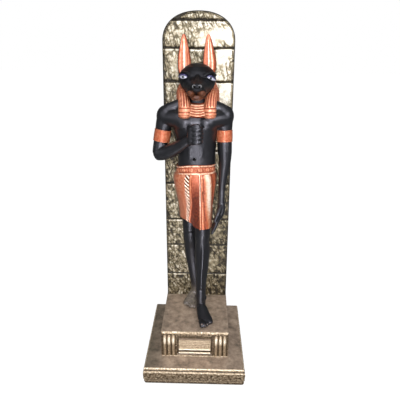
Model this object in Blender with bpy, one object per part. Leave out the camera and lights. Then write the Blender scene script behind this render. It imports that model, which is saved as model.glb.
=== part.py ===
"""Jackal-headed standing figure before a round-topped slab of stone courses, on a pedestal and a moulded plinth.

Metres, +Z up. The origin is under the middle of the plinth. The figure looks towards -Y.
"""

import math

import bmesh
import bpy
from mathutils import Vector

# Plinth: the low moulded block that everything stands on. Its width and depth are those of its top face.
PLINTH_WIDTH = 0.169
PLINTH_DEPTH = 0.182
PLINTH_HEIGHT = 0.035
PLINTH_BULGE = 0.003
PLINTH_UNDERCUT = 0.002

# Pedestal: the block under the figure's feet. Its reeded front faces the viewer.
PEDESTAL_WIDTH = 0.117
PEDESTAL_HEIGHT = 0.051
PEDESTAL_BACK_MARGIN = 0.023
PEDESTAL_FRONT_MARGIN = 0.028
PEDESTAL_EDGE = 0.0018
REEDS_PER_SIDE = 3
REED_WIDTH = 0.0075
REED_PROUD = 0.0022
RECESS_WIDTH = 0.062
RECESS_DEPTH = 0.005
RECESS_LIP = 0.006
PANEL_PROUD = 0.0028
PANEL_MARGIN = 0.003
PANEL_LINES = 5
SILL_RIDGES = 2
SILL_RIDGE_HEIGHT = 0.004

# Slab: the upright stone behind the figure, with courses of blocks carved in its face.
SLAB_WIDTH = 0.116
SLAB_HEIGHT = 0.514
SLAB_THICKNESS = 0.016
ARCH_RISE = 0.045
ARCH_FULLNESS = 2.2
SLAB_EDGE = 0.003
COURSES = (0.096, 0.121, 0.102, 0.136, 0.115, 0.111, 0.113, 0.100, 0.080)
JOINT_WIDTH = 0.0046
JOINT_DEPTH = 0.0022
UPRIGHT_JOINT_PLACE = -0.14

# Figure: crown to sole. Everything on it is laid out on a grid of 437 parts of this height.
FIGURE_HEIGHT = 0.437
GRID = 437

# Pieces that rest on or against each other keep this much room.
CLEARANCE = 0.0003

# How finely body and head are cast, how much they are smoothed, and the share of facets that is kept.
BODY_GRAIN = 1.7
BODY_KEPT = 0.015
HEAD_GRAIN = 1.2
HEAD_KEPT = 0.028
SMOOTH_PASSES = 5

# Edges sharper than this stay crisp when a piece is shaded smooth.
SHARP_ANGLE = math.radians(24)

unit = FIGURE_HEIGHT / GRID
pedestal_depth = PLINTH_DEPTH - PEDESTAL_BACK_MARGIN - PEDESTAL_FRONT_MARGIN
pedestal_front = -PLINTH_DEPTH / 2 + PEDESTAL_FRONT_MARGIN
pedestal_back = pedestal_front + pedestal_depth
slab_front = pedestal_back - SLAB_THICKNESS
pedestal_bottom = PLINTH_HEIGHT + CLEARANCE
pedestal_top = PLINTH_HEIGHT + PEDESTAL_HEIGHT
slab_bottom = pedestal_top + CLEARANCE
slab_top = pedestal_top + SLAB_HEIGHT


def clear_scene():
    """Starts from an empty scene."""
    for thing in list(bpy.data.objects):
        bpy.data.objects.remove(thing)


def paint(name, colour, roughness, metallic):
    """A painted finish, as a Principled surface."""
    finish = bpy.data.materials.new(name)
    finish.use_nodes = True
    shader = finish.node_tree.nodes["Principled BSDF"]
    shader.inputs["Base Color"].default_value = (*colour, 1.0)
    shader.inputs["Roughness"].default_value = roughness
    shader.inputs["Metallic"].default_value = metallic
    return finish


def new_object(name, bm, finish=None):
    """Turns a bmesh into a named object with its faces pointing out."""
    bmesh.ops.recalc_face_normals(bm, faces=bm.faces[:])
    mesh = bpy.data.meshes.new(name)
    bm.to_mesh(mesh)
    bm.free()
    mesh.shade_smooth()
    mesh.set_sharp_from_angle(angle=SHARP_ANGLE)
    made = bpy.data.objects.new(name, mesh)
    bpy.context.scene.collection.objects.link(made)
    if finish:
        mesh.materials.append(finish)
    return made


def skin_rings(bm, rings, hubs=None):
    """Joins closed rings of points, one after the other, and caps both ends.

    An end that isn't flat is capped round a hub point of its own.
    """
    rows = [[bm.verts.new(point) for point in ring] for ring in rings]
    for lower, upper in zip(rows, rows[1:]):
        for i in range(len(lower)):
            j = (i + 1) % len(lower)
            bm.faces.new((lower[i], lower[j], upper[j], upper[i]))
    ends = (rows[0][::-1], rows[-1])
    if hubs is None:
        for end in ends:
            bm.faces.new(end)
        return
    for end, hub in zip(ends, hubs):
        middle = bm.verts.new(hub)
        for i in range(len(end)):
            bm.faces.new((end[i], end[(i + 1) % len(end)], middle))


def helper(made):
    """Marks an object as one that only cuts or joins another."""
    made.hide_render = True
    made.display_type = "WIRE"
    return made


def boolean(target, operation, other, solver="EXACT"):
    """Adds a Boolean with an object, or with every object of a collection."""
    modifier = target.modifiers.new(operation.lower(), "BOOLEAN")
    modifier.operation = operation
    modifier.solver = solver
    if isinstance(other, bpy.types.Collection):
        modifier.operand_type = "COLLECTION"
        modifier.collection = other
    else:
        modifier.object = other
    return modifier


def collect(name, members):
    """Puts helpers in a collection of their own."""
    group = bpy.data.collections.new(name)
    bpy.context.scene.collection.children.link(group)
    for member in members:
        bpy.context.scene.collection.objects.unlink(member)
        group.objects.link(helper(member))
    return group


def block(name, low, high):
    """A plain box between two corners."""
    bm = bmesh.new()
    bmesh.ops.create_cube(bm, size=1.0)
    low, high = Vector(low), Vector(high)
    bmesh.ops.scale(bm, vec=high - low, verts=bm.verts)
    bmesh.ops.translate(bm, vec=(low + high) / 2, verts=bm.verts)
    return new_object(name, bm)


# The plinth, pedestal and slab


def plinth_profile():
    """(how far it stands out from the top face's edge, height), from the top down."""
    h = PLINTH_HEIGHT
    b = PLINTH_BULGE
    return [
        (-0.3 * b, h),
        (0.2 * b, 0.975 * h),
        (0.6 * b, 0.93 * h),
        (0.6 * b, 0.88 * h),
        (0.2 * b, 0.83 * h),
        (0.6 * b, 0.79 * h),
        (b, 0.74 * h),
        (b, 0.62 * h),
        (0.75 * b, 0.34 * h),
        (0.3 * b, 0.30 * h),
        (0.55 * b, 0.24 * h),
        (0.1 * b, 0.08 * h),
        (-PLINTH_UNDERCUT, 0.0),
    ]


def make_plinth(finish):
    """The moulded block, drawn round its four sides."""
    bm = bmesh.new()
    rings = []
    for out, z in reversed(plinth_profile()):
        x = PLINTH_WIDTH / 2 + out
        y = PLINTH_DEPTH / 2 + out
        rings.append([(-x, -y, z), (x, -y, z), (x, y, z), (-x, y, z)])
    skin_rings(bm, rings)
    return new_object("plinth", bm, finish)


def reed(name, x, low, high):
    """A half-round upright reed on the pedestal's front, rounded over at its top."""
    bm = bmesh.new()
    sides = 10
    radius = REED_WIDTH / 2
    rings = []
    shoulder = high - radius
    levels = [(low, 1.0), (shoulder, 1.0), (high - 0.35 * radius, 0.82), (high, 0.35)]
    for z, share in levels:
        ring = []
        for i in range(sides):
            turn = 2 * math.pi * i / sides
            y = pedestal_front - REED_PROUD * share * math.cos(turn)
            ring.append((x + 0.47 * REED_WIDTH * math.sin(turn), y, z))
        rings.append(ring)
    skin_rings(bm, rings)
    return new_object(name, bm)


def make_pedestal(finish):
    """The block under the feet, with its reeds, its recess and the lined panel in it."""
    bm = bmesh.new()
    low = (-PEDESTAL_WIDTH / 2, pedestal_front, pedestal_bottom)
    high = (PEDESTAL_WIDTH / 2, pedestal_back, pedestal_top)
    bmesh.ops.create_cube(bm, size=1.0)
    size = Vector(high) - Vector(low)
    bmesh.ops.scale(bm, vec=size, verts=bm.verts)
    bmesh.ops.translate(bm, vec=(Vector(low) + Vector(high)) / 2, verts=bm.verts)
    front_edges = [e for e in bm.edges if all(v.co.y < 0 and v.co.z > PLINTH_HEIGHT * 1.1 for v in e.verts)]
    bmesh.ops.bevel(bm, geom=front_edges, offset=PEDESTAL_EDGE, segments=2, affect="EDGES")
    pedestal = new_object("pedestal", bm, finish)

    recess_top = pedestal_top - RECESS_LIP
    recess_bottom = pedestal_bottom + RECESS_LIP / 2
    half = RECESS_WIDTH / 2
    cutter = block(
        "recess",
        (-half, pedestal_front - RECESS_DEPTH, recess_bottom),
        (half, pedestal_front + RECESS_DEPTH, recess_top),
    )
    boolean(pedestal, "DIFFERENCE", helper(cutter))

    added = []
    reed_low = pedestal_bottom + RECESS_LIP / 2
    reed_high = pedestal_top - 0.7 * RECESS_LIP
    for side in (-1, 1):
        middle = side * (RECESS_WIDTH / 2 + PEDESTAL_WIDTH / 2) / 2
        for i in range(REEDS_PER_SIDE):
            x = middle + (i - (REEDS_PER_SIDE - 1) / 2) * REED_WIDTH
            added.append(reed(f"reed_{side}_{i}", x, reed_low, reed_high))
    added.append(lined_panel(recess_bottom, recess_top))
    boolean(pedestal, "UNION", collect("pedestal carving", added))
    return pedestal


def lined_panel(bottom, top):
    """The plaque in the recess: fine level lines over a sill of bolder ridges, drawn as one profile."""
    floor = pedestal_front + RECESS_DEPTH
    sill_top = bottom + SILL_RIDGES * SILL_RIDGE_HEIGHT
    panel_bottom = sill_top + 0.3 * PANEL_MARGIN
    panel_top = top - PANEL_MARGIN
    pitch = (panel_top - panel_bottom) / PANEL_LINES
    face = floor - PANEL_PROUD
    profile = [(floor + CLEARANCE * 4, bottom - CLEARANCE)]
    for i in range(SILL_RIDGES):
        z = bottom + i * SILL_RIDGE_HEIGHT
        profile += [(floor - 0.0006, z), (face - 0.0006, z + 0.3 * SILL_RIDGE_HEIGHT)]
        profile += [(face - 0.0006, z + 0.7 * SILL_RIDGE_HEIGHT)]
    profile.append((floor - 0.0006, sill_top))
    for i in range(PANEL_LINES):
        z = panel_bottom + i * pitch
        profile += [(face + 0.0007, z), (face, z + 0.25 * pitch), (face, z + 0.8 * pitch)]
    profile += [(face + 0.0007, panel_top), (floor + CLEARANCE * 4, panel_top)]
    half = RECESS_WIDTH / 2 - PANEL_MARGIN
    bm = bmesh.new()
    skin_rings(bm, [[(x, y, z) for y, z in profile] for x in (-half, half)])
    return new_object("lined_panel", bm)


def arch_outline(inset):
    """The slab's outline in x and z: straight sides under a flattened arch."""
    half = SLAB_WIDTH / 2 - inset
    rise = ARCH_RISE - inset
    spring = slab_top - ARCH_RISE
    points = [(-half, slab_bottom), (half, slab_bottom), (half, spring)]
    steps = 20
    for i in range(1, steps):
        turn = math.pi * i / steps
        power = 2 / ARCH_FULLNESS
        x = math.copysign(abs(math.cos(turn)) ** power, math.cos(turn)) * half
        points.append((x, spring + math.sin(turn) ** power * rise))
    points.append((-half, spring))
    return points


def groove(name, ends, vertical=False):
    """A V-shaped bar that cuts one joint between blocks. ends are x and z of its two ends."""
    bm = bmesh.new()
    half = JOINT_WIDTH / 2
    front = slab_front - JOINT_DEPTH
    bottom = slab_front + JOINT_DEPTH
    section = [(-2 * half, front), (2 * half, front), (0.35 * half, bottom), (-0.35 * half, bottom)]
    rings = []
    for x, z in ends:
        if vertical:
            rings.append([(x + across, y, z) for across, y in section])
        else:
            rings.append([(x, y, z + across) for across, y in section])
    skin_rings(bm, rings)
    return new_object(name, bm)


def make_slab(finish):
    """The round-topped slab, its worn edge and the joints of its courses."""
    bm = bmesh.new()
    layers = [
        (SLAB_EDGE, slab_front),
        (0.35 * SLAB_EDGE, slab_front + 0.3 * SLAB_EDGE),
        (0.0, slab_front + SLAB_EDGE),
        (0.0, slab_front + SLAB_THICKNESS),
    ]
    skin_rings(bm, [[(x, y, z) for x, z in arch_outline(inset)] for inset, y in layers])
    slab = new_object("slab", bm, finish)
    cutters = []
    z = slab_bottom
    beyond = SLAB_WIDTH
    for i, share in enumerate(COURSES):
        z += share * SLAB_HEIGHT
        cutters.append(groove(f"joint_{i}", [(-beyond, z), (beyond, z)]))
    x = UPRIGHT_JOINT_PLACE * SLAB_WIDTH
    below = z - COURSES[-1] * SLAB_HEIGHT
    cutters.append(groove("joint_upright", [(x, below), (x, z)], vertical=True))
    for cutter in cutters:
        boolean(slab, "DIFFERENCE", helper(cutter))
    return slab


# The figure


def at(x, front, up):
    """A point of the figure's grid: across, out from the slab's face, and up from the pedestal."""
    return Vector((x * unit, slab_front - front * unit, pedestal_top + up * unit))


def section(centre, along, across, half_across, half_other, sides, fullness=2.0):
    """Points of one section of a limb, square to its run. Fullness above 2 is boxier than an ellipse."""
    along = along.normalized()
    first = (across - across.dot(along) * along).normalized()
    second = along.cross(first)
    points = []
    for i in range(sides):
        turn = 2 * math.pi * i / sides
        c, s = math.cos(turn), math.sin(turn)
        a = math.copysign(abs(c) ** (2 / fullness), c) * half_across * unit
        b = math.copysign(abs(s) ** (2 / fullness), s) * half_other * unit
        points.append(centre + a * first + b * second)
    return points


def limb(bm, stations, across=(1, 0, 0), sides=16, fullness=2.0):
    """A closed tube through stations of (x, front, up, half across, half the other way)."""
    centres = [at(*station[:3]) for station in stations]
    rings = []
    for i, station in enumerate(stations):
        run = centres[min(i + 1, len(centres) - 1)] - centres[max(i - 1, 0)]
        rings.append(section(centres[i], run, Vector(across), *station[3:5], sides, fullness))
    skin_rings(bm, rings)


def level_limb(bm, stations, sides=24, fullness=2.0):
    """A closed tube whose sections stay level: stations of (x, front, up, half width, half depth)."""
    up, right = Vector((0, 0, 1)), Vector((1, 0, 0))
    skin_rings(bm, [section(at(*place), up, right, w, d, sides, fullness) for *place, w, d in stations])


def lump(bm, place, size, segments=14):
    """A rounded swelling, such as a muscle: its middle and its three half sizes."""
    made = bmesh.ops.create_uvsphere(bm, u_segments=segments, v_segments=8, radius=1.0)["verts"]
    bmesh.ops.scale(bm, vec=Vector(size) * unit, verts=made)
    bmesh.ops.translate(bm, vec=at(*place), verts=made)


def torso(bm):
    """Trunk and neck, with chest muscles and belly."""
    level_limb(
        bm,
        [
            (-1.5, 25, 214, 20, 14),
            (-1.5, 26, 232, 29, 20),
            (-1.5, 28, 256, 33.5, 27),
            (-1, 28, 276, 31.5, 26),
            (-0.7, 28, 290, 31, 25),
            (-1.2, 28, 306, 31.5, 25.5),
            (-2.6, 28.5, 322, 32.8, 27.5),
            (-3.2, 29, 338, 36, 28.5),
            (-3.4, 29, 350, 41, 27.5),
            (-3.2, 28, 361, 42, 24),
            (-2.5, 27, 370, 34, 20),
            (-1, 27, 378, 21, 17),
            (0, 28, 388, 15.5, 15),
            (0, 30, 404, 15, 15),
        ],
        sides=32,
        fullness=2.3,
    )
    for side in (-1, 1):
        lump(bm, (17 * side - 2.5, 46, 348), (18.5, 12.5, 12))
        lump(bm, (8 * side - 1, 47, 312), (9, 6, 24))
        lump(bm, (25 * side - 2, 22, 366), (22, 15, 11))
        lump(bm, (14 * side - 1, 16, 236), (17, 17, 20))


def right_arm(bm):
    """The figure's right arm: elbow out to the side and forearm across to the chest."""
    lump(bm, (-50.5, 28, 356), (16.2, 16, 18))
    limb(
        bm,
        [
            (-46, 28, 368, 9, 10),
            (-50, 28, 358, 15, 15),
            (-54.5, 29, 343, 13.6, 14),
            (-58, 30, 327, 12.2, 12.5),
            (-60.7, 32, 312, 11.8, 12),
            (-62.5, 35, 298, 11.8, 11),
            (-63, 36, 289, 7.5, 7),
        ],
    )
    limb(
        bm,
        [
            (-70, 34, 296, 6, 5),
            (-64.5, 36, 296.5, 12.4, 10.5),
            (-54, 40, 298.5, 12.4, 11),
            (-40, 47, 305, 11.4, 10.6),
            (-28, 54, 313, 10.4, 9),
            (-18, 61, 321, 9.2, 7.6),
            (-9, 66, 328, 8.8, 7.2),
        ],
        across=(0, 0, 1),
    )
    level_limb(
        bm,
        [
            (-6, 66, 318, 6.5, 6),
            (-6, 67.5, 322.5, 10.4, 9.2),
            (-4.8, 69, 334.5, 11.2, 9.9),
            (-4.6, 69, 344.5, 10.2, 9),
            (-5, 69, 348.5, 5.5, 5),
        ],
        sides=16,
        fullness=2.6,
    )


def left_arm(bm):
    """The figure's left arm, hanging, down to the palm beside the kilt."""
    lump(bm, (43, 28, 357), (15.8, 16, 18))
    limb(
        bm,
        [
            (37.5, 28, 369, 9, 10),
            (42, 28, 359, 15, 15),
            (43.8, 29, 343, 13.2, 14),
            (44.4, 30, 327, 11.7, 12.3),
            (44.7, 32, 312, 12.4, 12),
            (45, 34, 300, 12.6, 12),
            (45.2, 36, 286, 11, 11.5),
            (44.4, 38, 272, 9, 10.2),
            (43.2, 41.5, 255, 7.2, 8.8),
            (42.2, 46, 236, 5.8, 7.6),
            (41.8, 51, 217, 6, 7.4),
            (41, 53, 211, 6.8, 8.5),
        ],
    )
    limb(
        bm,
        [
            (42.5, 52, 217, 6.2, 7),
            (42.4, 55, 208, 8.1, 9.8),
            (39.8, 58, 199, 7.6, 11.2),
            (36, 60, 190.5, 5.4, 10.4),
        ],
    )


def front_leg(bm):
    """The figure's left leg, which steps forward."""
    level_limb(
        bm,
        [
            (14, 31, 252, 15, 17),
            (12.5, 37, 222, 14, 16),
            (11, 43, 188, 13.4, 15.5),
            (10.6, 46, 166, 13.4, 15),
            (10.3, 46.5, 154, 13.4, 14.5),
            (10.1, 45, 142, 12.4, 13.5),
            (10.6, 42, 128, 13.4, 14.5),
            (10.6, 40.5, 116, 13.9, 15),
            (10.6, 41, 100, 12.6, 14),
            (10, 42.5, 84, 11.3, 12.5),
            (9.3, 44.5, 66, 9.8, 11),
            (9, 46.5, 48, 8.7, 10),
            (8.9, 48, 32, 8.8, 10.5),
            (9, 48, 16, 9.2, 11.5),
            (9.3, 47, 3, 8.2, 10.5),
        ],
        sides=20,
    )
    lump(bm, (11.4, 55, 161), (8.5, 7, 11))
    lump(bm, (17, 48, 27), (3, 4.5, 4.5), 10)
    lump(bm, (0.6, 48, 29), (3, 4.5, 4.5), 10)


def rear_leg(bm):
    """The figure's right leg, which takes the weight against the slab."""
    level_limb(
        bm,
        [
            (-15, 25, 252, 15, 16),
            (-14, 22, 222, 14, 15),
            (-13, 20, 188, 13.4, 14.5),
            (-12.2, 18, 162, 13.6, 15),
            (-11.8, 17, 146, 13.2, 14.5),
            (-11, 14, 130, 13, 14),
            (-10, 11, 114, 13.4, 14.5),
            (-8.8, 9, 98, 13.2, 13),
            (-7, 8, 82, 12, 12),
            (-5.2, 6.5, 66, 11, 11),
            (-3.2, 5.5, 48, 9.8, 10),
            (-1.4, 5, 32, 9, 10),
            (-0.8, 5, 16, 9, 11),
            (-1, 4, 3, 8, 10),
        ],
        sides=20,
    )
    lump(bm, (-12.5, 28, 158), (8.5, 6.5, 11))
    lump(bm, (-8.6, 5, 28), (3, 4.5, 4.5), 10)


# Each foot: its shin's place, how far it turns out, the big toe's side, and its length and breadth.
FEET = {
    "left": ((9.3, 50), math.radians(14), -1, 1.0, 1.05),
    "right": ((-1.5, 2), math.radians(-16), 1, 0.86, 1.15),
}


def foot_point(foot, across, forward, up):
    """A point of a foot, given across and forward from under its shin, on the figure's grid."""
    (x, front), turn, inner, length, breadth = FEET[foot]
    across, forward = across * breadth, forward * length
    c, s = math.cos(turn), math.sin(turn)
    return (x + c * across + s * forward, front + c * forward - s * across, up)


def feet(bm):
    """Both bare feet, heel to the roots of the toes."""
    shape = [
        (0, -12, 6, 5.5, 5.5),
        (0, -9, 7, 8, 7.5),
        (0, 0, 9, 9.2, 10),
        (0.3, 12, 10, 9.8, 11.5),
        (0.3, 22, 8, 11, 9),
        (0, 33, 6, 12, 6.8),
        (-0.2, 41, 4.6, 11.8, 5),
        (-0.3, 44.5, 4, 9.5, 3.6),
    ]
    for foot, (_, turn, inner, _, breadth) in FEET.items():
        stations = [(*foot_point(foot, x * inner, y, up), w * breadth, h) for x, y, up, w, h in shape]
        limb(bm, stations, across=(math.cos(turn), math.sin(turn), 0), sides=18)


def head(bm):
    """The jackal's head: broad skull, tapering muzzle, lower jaw, brows and eyes."""
    level_limb(
        bm,
        [
            (0, 34, 438, 4, 5),
            (0, 34, 436.5, 11, 11),
            (0, 35, 432.5, 19, 17),
            (0, 36, 426, 25.4, 22),
            (0, 36.5, 419, 29, 24.6),
            (0, 37, 412, 28.6, 25),
            (0, 37.5, 406, 26.3, 24),
            (0, 38, 401, 23.6, 22.5),
            (0, 38, 396, 20.2, 20.5),
            (0, 38, 391, 16.6, 18),
            (0, 36, 386, 12, 15),
        ],
    )
    limb(
        bm,
        [
            (0, 40, 411, 25, 20),
            (0, 50, 408, 23, 17),
            (0, 60, 405.5, 19.6, 13.6),
            (0, 70, 404.6, 16.2, 10.6),
            (0, 80, 404.2, 13, 8.9),
            (0, 88, 404.2, 10.4, 7.5),
            (0, 94, 405.2, 6.8, 5.2),
        ],
        sides=24,
        fullness=2.3,
    )
    limb(
        bm,
        [
            (0, 46, 392.5, 15, 7),
            (0, 58, 390.6, 12.4, 5.6),
            (0, 70, 389.6, 10, 4.2),
            (0, 80, 390, 7.6, 3.6),
            (0, 85, 391, 4.4, 2.4),
        ],
        sides=16,
    )
    lump(bm, (0.6, 93, 407.5), (6.2, 4.6, 4))
    for side, up in ((-1, 418.6), (1, 416.8)):
        lump(bm, (8.6 * side, 77, 398), (6.6, 11, 5.4))
        lump(bm, (21 * side, 50.5, up), (6.4, 6.6, 4))
        limb(
            bm,
            [
                (9 * side, 59, up + 2, 2, 2),
                (15.5 * side, 57, up + 6, 2.6, 2.6),
                (23 * side, 50, up + 6.4, 2.6, 2.6),
                (28.5 * side, 41, up + 2.5, 1.8, 1.8),
            ],
            across=(0, 0, 1),
            sides=10,
        )


def cast(name, forms, grain, kept):
    """Rounded forms that run into one another, cast as one skin, rubbed smooth and then faceted."""
    bm = bmesh.new()
    for form in forms:
        form(bm)
    made = new_object(name, bm)
    skin = made.modifiers.new("cast", "REMESH")
    skin.mode = "VOXEL"
    skin.voxel_size = grain * unit
    skin.use_smooth_shade = True
    rub = made.modifiers.new("rub", "SMOOTH")
    rub.factor = 0.5
    rub.iterations = SMOOTH_PASSES
    facets = made.modifiers.new("facets", "DECIMATE")
    facets.ratio = kept
    return made


def digit(name, points, radius, sides=6):
    """A finger or toe: a tube through its joints, with rounded ends."""
    places = [Vector(point) for point in points]
    before = places[0] + (places[0] - places[1]).normalized() * 0.8 * radius
    after = places[-1] + (places[-1] - places[-2]).normalized() * 0.8 * radius
    run = [before, *places, after]
    sizes = [0.55 * radius, *[radius] * len(places), 0.5 * radius]
    bm = bmesh.new()
    limb(bm, [(*p, r, r) for p, r in zip(run, sizes)], across=(0.3, 0.2, 1), sides=sides)
    return new_object(name, bm)


def web(name, stations):
    """The flesh that joins neighbouring fingers, set back from their outer sides."""
    bm = bmesh.new()
    level_limb(bm, stations, sides=8, fullness=3.0)
    return new_object(name, bm)


def fist_digits():
    """The closed fingers of the fist, one above the other, with the thumb over them."""
    made = [web("fist_web", [(-1.2, 75.2, 321.7, 5.8, 3.3), (-1.2, 75.4, 344.6, 5.8, 3.3)])]
    for i in range(4):
        up = 323.5 + 6.5 * i
        joints = [(-5.5, 75.5, up - 1), (2.6, 76.3, up), (5.8, 69, up)]
        made.append(digit(f"fist_finger_{i}", joints, 4.1))
    made.append(digit("fist_thumb", [(-12.5, 69, 342), (-6, 74, 347.5), (2.4, 75.5, 348)], 3.5))
    return made


def hanging_digits():
    """The fingers and thumb of the open hand."""
    palm_end, knuckles, tips = (36.6, 61.2, 198, 2, 8.2), (31.9, 63, 181, 1.9, 8.6), (27.6, 64.2, 171, 1.8, 8.6)
    made = [web("hanging_web", [palm_end, knuckles, tips])]
    for i, reach in enumerate((0.84, 1.0, 1.05, 0.95)):
        front = 51 + 5.7 * i
        joints = [(37, front, 196), (31.9, front + 3.5, 195 - 14 * reach), (26, front + 5, 195 - 27 * reach)]
        made.append(digit(f"hanging_finger_{i}", joints, 3.4))
    made.append(digit("hanging_thumb", [(38.5, 63, 208), (35, 70, 201.5), (31.3, 72, 193)], 3.2))
    return made


def toes():
    """Five toes on each foot, from the big toe outwards."""
    made = []
    for foot, (_, _, inner, _, _) in FEET.items():
        for i, reach in enumerate((52, 53.5, 51, 47.5, 42.5)):
            across = inner * (8.8 - 4.7 * i)
            radius = 4.2 if i == 0 else 3.0 - 0.15 * i
            lengths = ((reach - 13, 5.2), (reach - 5, 5.4), (reach - 0.8 * radius, 3.2))
            joints = [foot_point(foot, across, forward, up) for forward, up in lengths]
            made.append(digit(f"toe_{foot}_{i}", joints, radius))
    return made


def eye(name, side, up, droop):
    """An almond eye that stands proud of the skull, from its inner to its outer corner."""
    stations = [
        (14.6, 56.6, 0.0, 0.5, 0.8),
        (17.2, 57.4, 0.5, 2.5, 2.6),
        (21.0, 55.4, 0.5, 3.9, 3.0),
        (24.6, 51.6, 0.0, 3.1, 3.0),
        (27.8, 46.4, -0.6, 0.6, 1.2),
    ]
    bm = bmesh.new()
    places = [(side * x, front, up + rise - droop * (x - 14.6), h, d) for x, front, rise, h, d in stations]
    limb(bm, places, across=(0, 0, 1), sides=10)
    return new_object(name, bm)


def ear(name, base_x, tip_x):
    """A tall pricked ear with a hollow front and a rib down the hollow."""
    outline = [(422, 8.5), (432, 10.2), (446, 10.0), (457, 7.8), (466, 5.4), (473, 3.0), (478.5, 0.9)]
    low, high = outline[0][0], outline[-1][0]
    sides = 12
    rings = []
    for up, half in outline:
        x = base_x + (tip_x - base_x) * max(0.0, (up - 440) / (high - 440))
        front = 32 - 3 * (up - low) / (high - low)
        points = []
        for i in range(sides):
            turn = 2 * math.pi * i / sides
            c, s = math.cos(turn), math.sin(turn)
            rib = 0.24 * max(0.0, 1 - (c / 0.25) ** 2)
            deep = 0.36 * abs(c) ** 3 - 0.12 + rib if s >= 0 else 0.24 + 0.62 * s
            points.append(at(x + half * c, front + half * deep, up))
        rings.append(points)
    bm = bmesh.new()
    skin_rings(bm, rings)
    return new_object(name, bm)


def lappet(name, side):
    """A front fall of the headcloth, crossed by raised bands."""
    bands = 5
    top, bottom = 394, 359
    stations = []
    for i in range(2 * bands + 1):
        share = i / (2 * bands)
        swell = 0.6 if i % 2 else -0.6
        x = side * (22.5 - 2.9 * min(1.0, 2 * share))
        half = 7.4 + 2.6 * min(1.0, 1.6 * share)
        stations.append((x, 43 + 10.5 * share**0.8, top - (top - bottom) * share, half + swell, 8 + swell))
    stations.append((side * 19.6, 53.5, bottom - 1.8, 8, 6.2))
    stations.append((side * 19.6, 53, bottom - 2.8, 5, 4))
    bm = bmesh.new()
    level_limb(bm, stations, sides=10, fullness=2.6)
    return new_object(name, bm)


def mantle():
    """The headcloth behind the face and over the shoulders, with its stripes cut as flutes."""
    stations = [
        (0, 12, 430, 12, 7),
        (0, 13, 425, 19, 12),
        (0, 14, 418, 24, 15),
        (0, 15.6, 411, 27.4, 18),
        (0, 17, 404, 30.6, 20),
        (0, 18.5, 395, 33.8, 22.6),
        (0, 19, 382, 34.6, 22),
        (0, 18, 373, 34, 20),
        (0, 17, 366, 31, 18),
    ]
    stripes = 16
    rings = []
    for x, front, up, width, depth in stations:
        points = []
        for i in range(2 * stripes):
            turn = math.pi * i / stripes
            cut = 0.0 if i % 2 else 1.1
            points.append(at(x + (width - cut) * math.cos(turn), front + (depth - cut) * math.sin(turn), up))
        rings.append(points)
    bm = bmesh.new()
    skin_rings(bm, rings)
    return new_object("mantle", bm)


def collar():
    """The collar between the lappets: four raised bands, drooping a little in the middle."""
    bands = 4
    top, bottom, half = 379, 362, 13
    rings = []
    for i in range(7):
        share = i / 3 - 1
        bow = 1 - share * share
        profile = [(34, top + 1)]
        for band in range(bands):
            for part, proud in ((0.0, 0.0), (0.25, 1.5), (0.75, 1.5)):
                place = (band + part) / bands
                front = 47 + 11.5 * place + 1.5 * bow + proud
                profile.append((front, top + (bottom - top) * place - 1.6 * bow))
        profile += [(58 + 1.5 * bow, bottom - 1.6 * bow), (34, bottom - 2)]
        rings.append([at(half * share, front, up) for front, up in profile])
    bm = bmesh.new()
    skin_rings(bm, rings)
    return new_object("collar", bm)


def armband(name, low, high, radius):
    """A broad band round an upper arm, with a raised rim above and below."""
    low, high = Vector(low), Vector(high)
    shape = [(0.0, 0.4), (0.04, 1.0), (0.15, 1.0), (0.19, 0.4), (0.81, 0.4), (0.85, 1.0), (0.96, 1.0), (1.0, 0.4)]
    stations = [(*(low + (high - low) * share), radius + proud, radius + 0.4 + proud) for share, proud in shape]
    bm = bmesh.new()
    limb(bm, stations, sides=14)
    return new_object(name, bm)


def belt():
    """The belt, with a rim at each edge. It sags towards the hips, and more on the figure's right."""
    top, bottom = 282.4, 266
    shape = [(0.0, 0.4), (0.08, 1.1), (0.2, 1.1), (0.26, 0.3), (0.7, 0.5), (0.76, 1.4), (0.93, 1.4), (1.0, 0.6)]
    sides = 20
    rings = []
    for share, proud in shape:
        points = []
        for i in range(sides):
            turn = 2 * math.pi * i / sides
            c, s = math.cos(turn), math.sin(turn)
            sag = c * c * (2.5 - 1.5 * share if c > 0 else 7 - 2.6 * share)
            x = -2.2 + math.copysign(abs(c) ** (2 / 2.15), c) * (32 + proud)
            front = 29.5 + math.copysign(abs(s) ** (2 / 2.15), s) * (27.6 + proud)
            points.append(at(x, front, top + (bottom - top) * share - sag))
        rings.append(points)
    bm = bmesh.new()
    skin_rings(bm, rings, hubs=[at(-2.2, 29.5, top - 4), at(-2.2, 29.5, bottom - 3)])
    return new_object("belt", bm)


# The kilt is laid out by turns about its own upright axis: 0 faces front, and a plus is to the figure's left.
KILT_TOP, KILT_HEM, HEM_SLOPE, HEM_DROP = 270, 181, 1.5, 6
KILT_AXIS = (-2, 33)
KILT_ROWS = 6
PLAIN_START, BORDER_TURN, APRON_TURN = math.radians(-150), math.radians(-22), math.radians(-12)
RIGHT_PLEATS = [math.radians(turn) for turn in (13, 26, 57, 80, 102, 125)]
FAN_RIBS = 13
FAN_SPACING = 5.6
FAN_CLIMB = 12
FAN_SWEEP = math.radians(16)

# In plan, where the rear and the front thigh fill the kilt: middle and half sizes.
THIGHS = (((-13.4, 21.5), (15.6, 19)), ((9.6, 46.5), (15.4, 20.5)))


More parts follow.
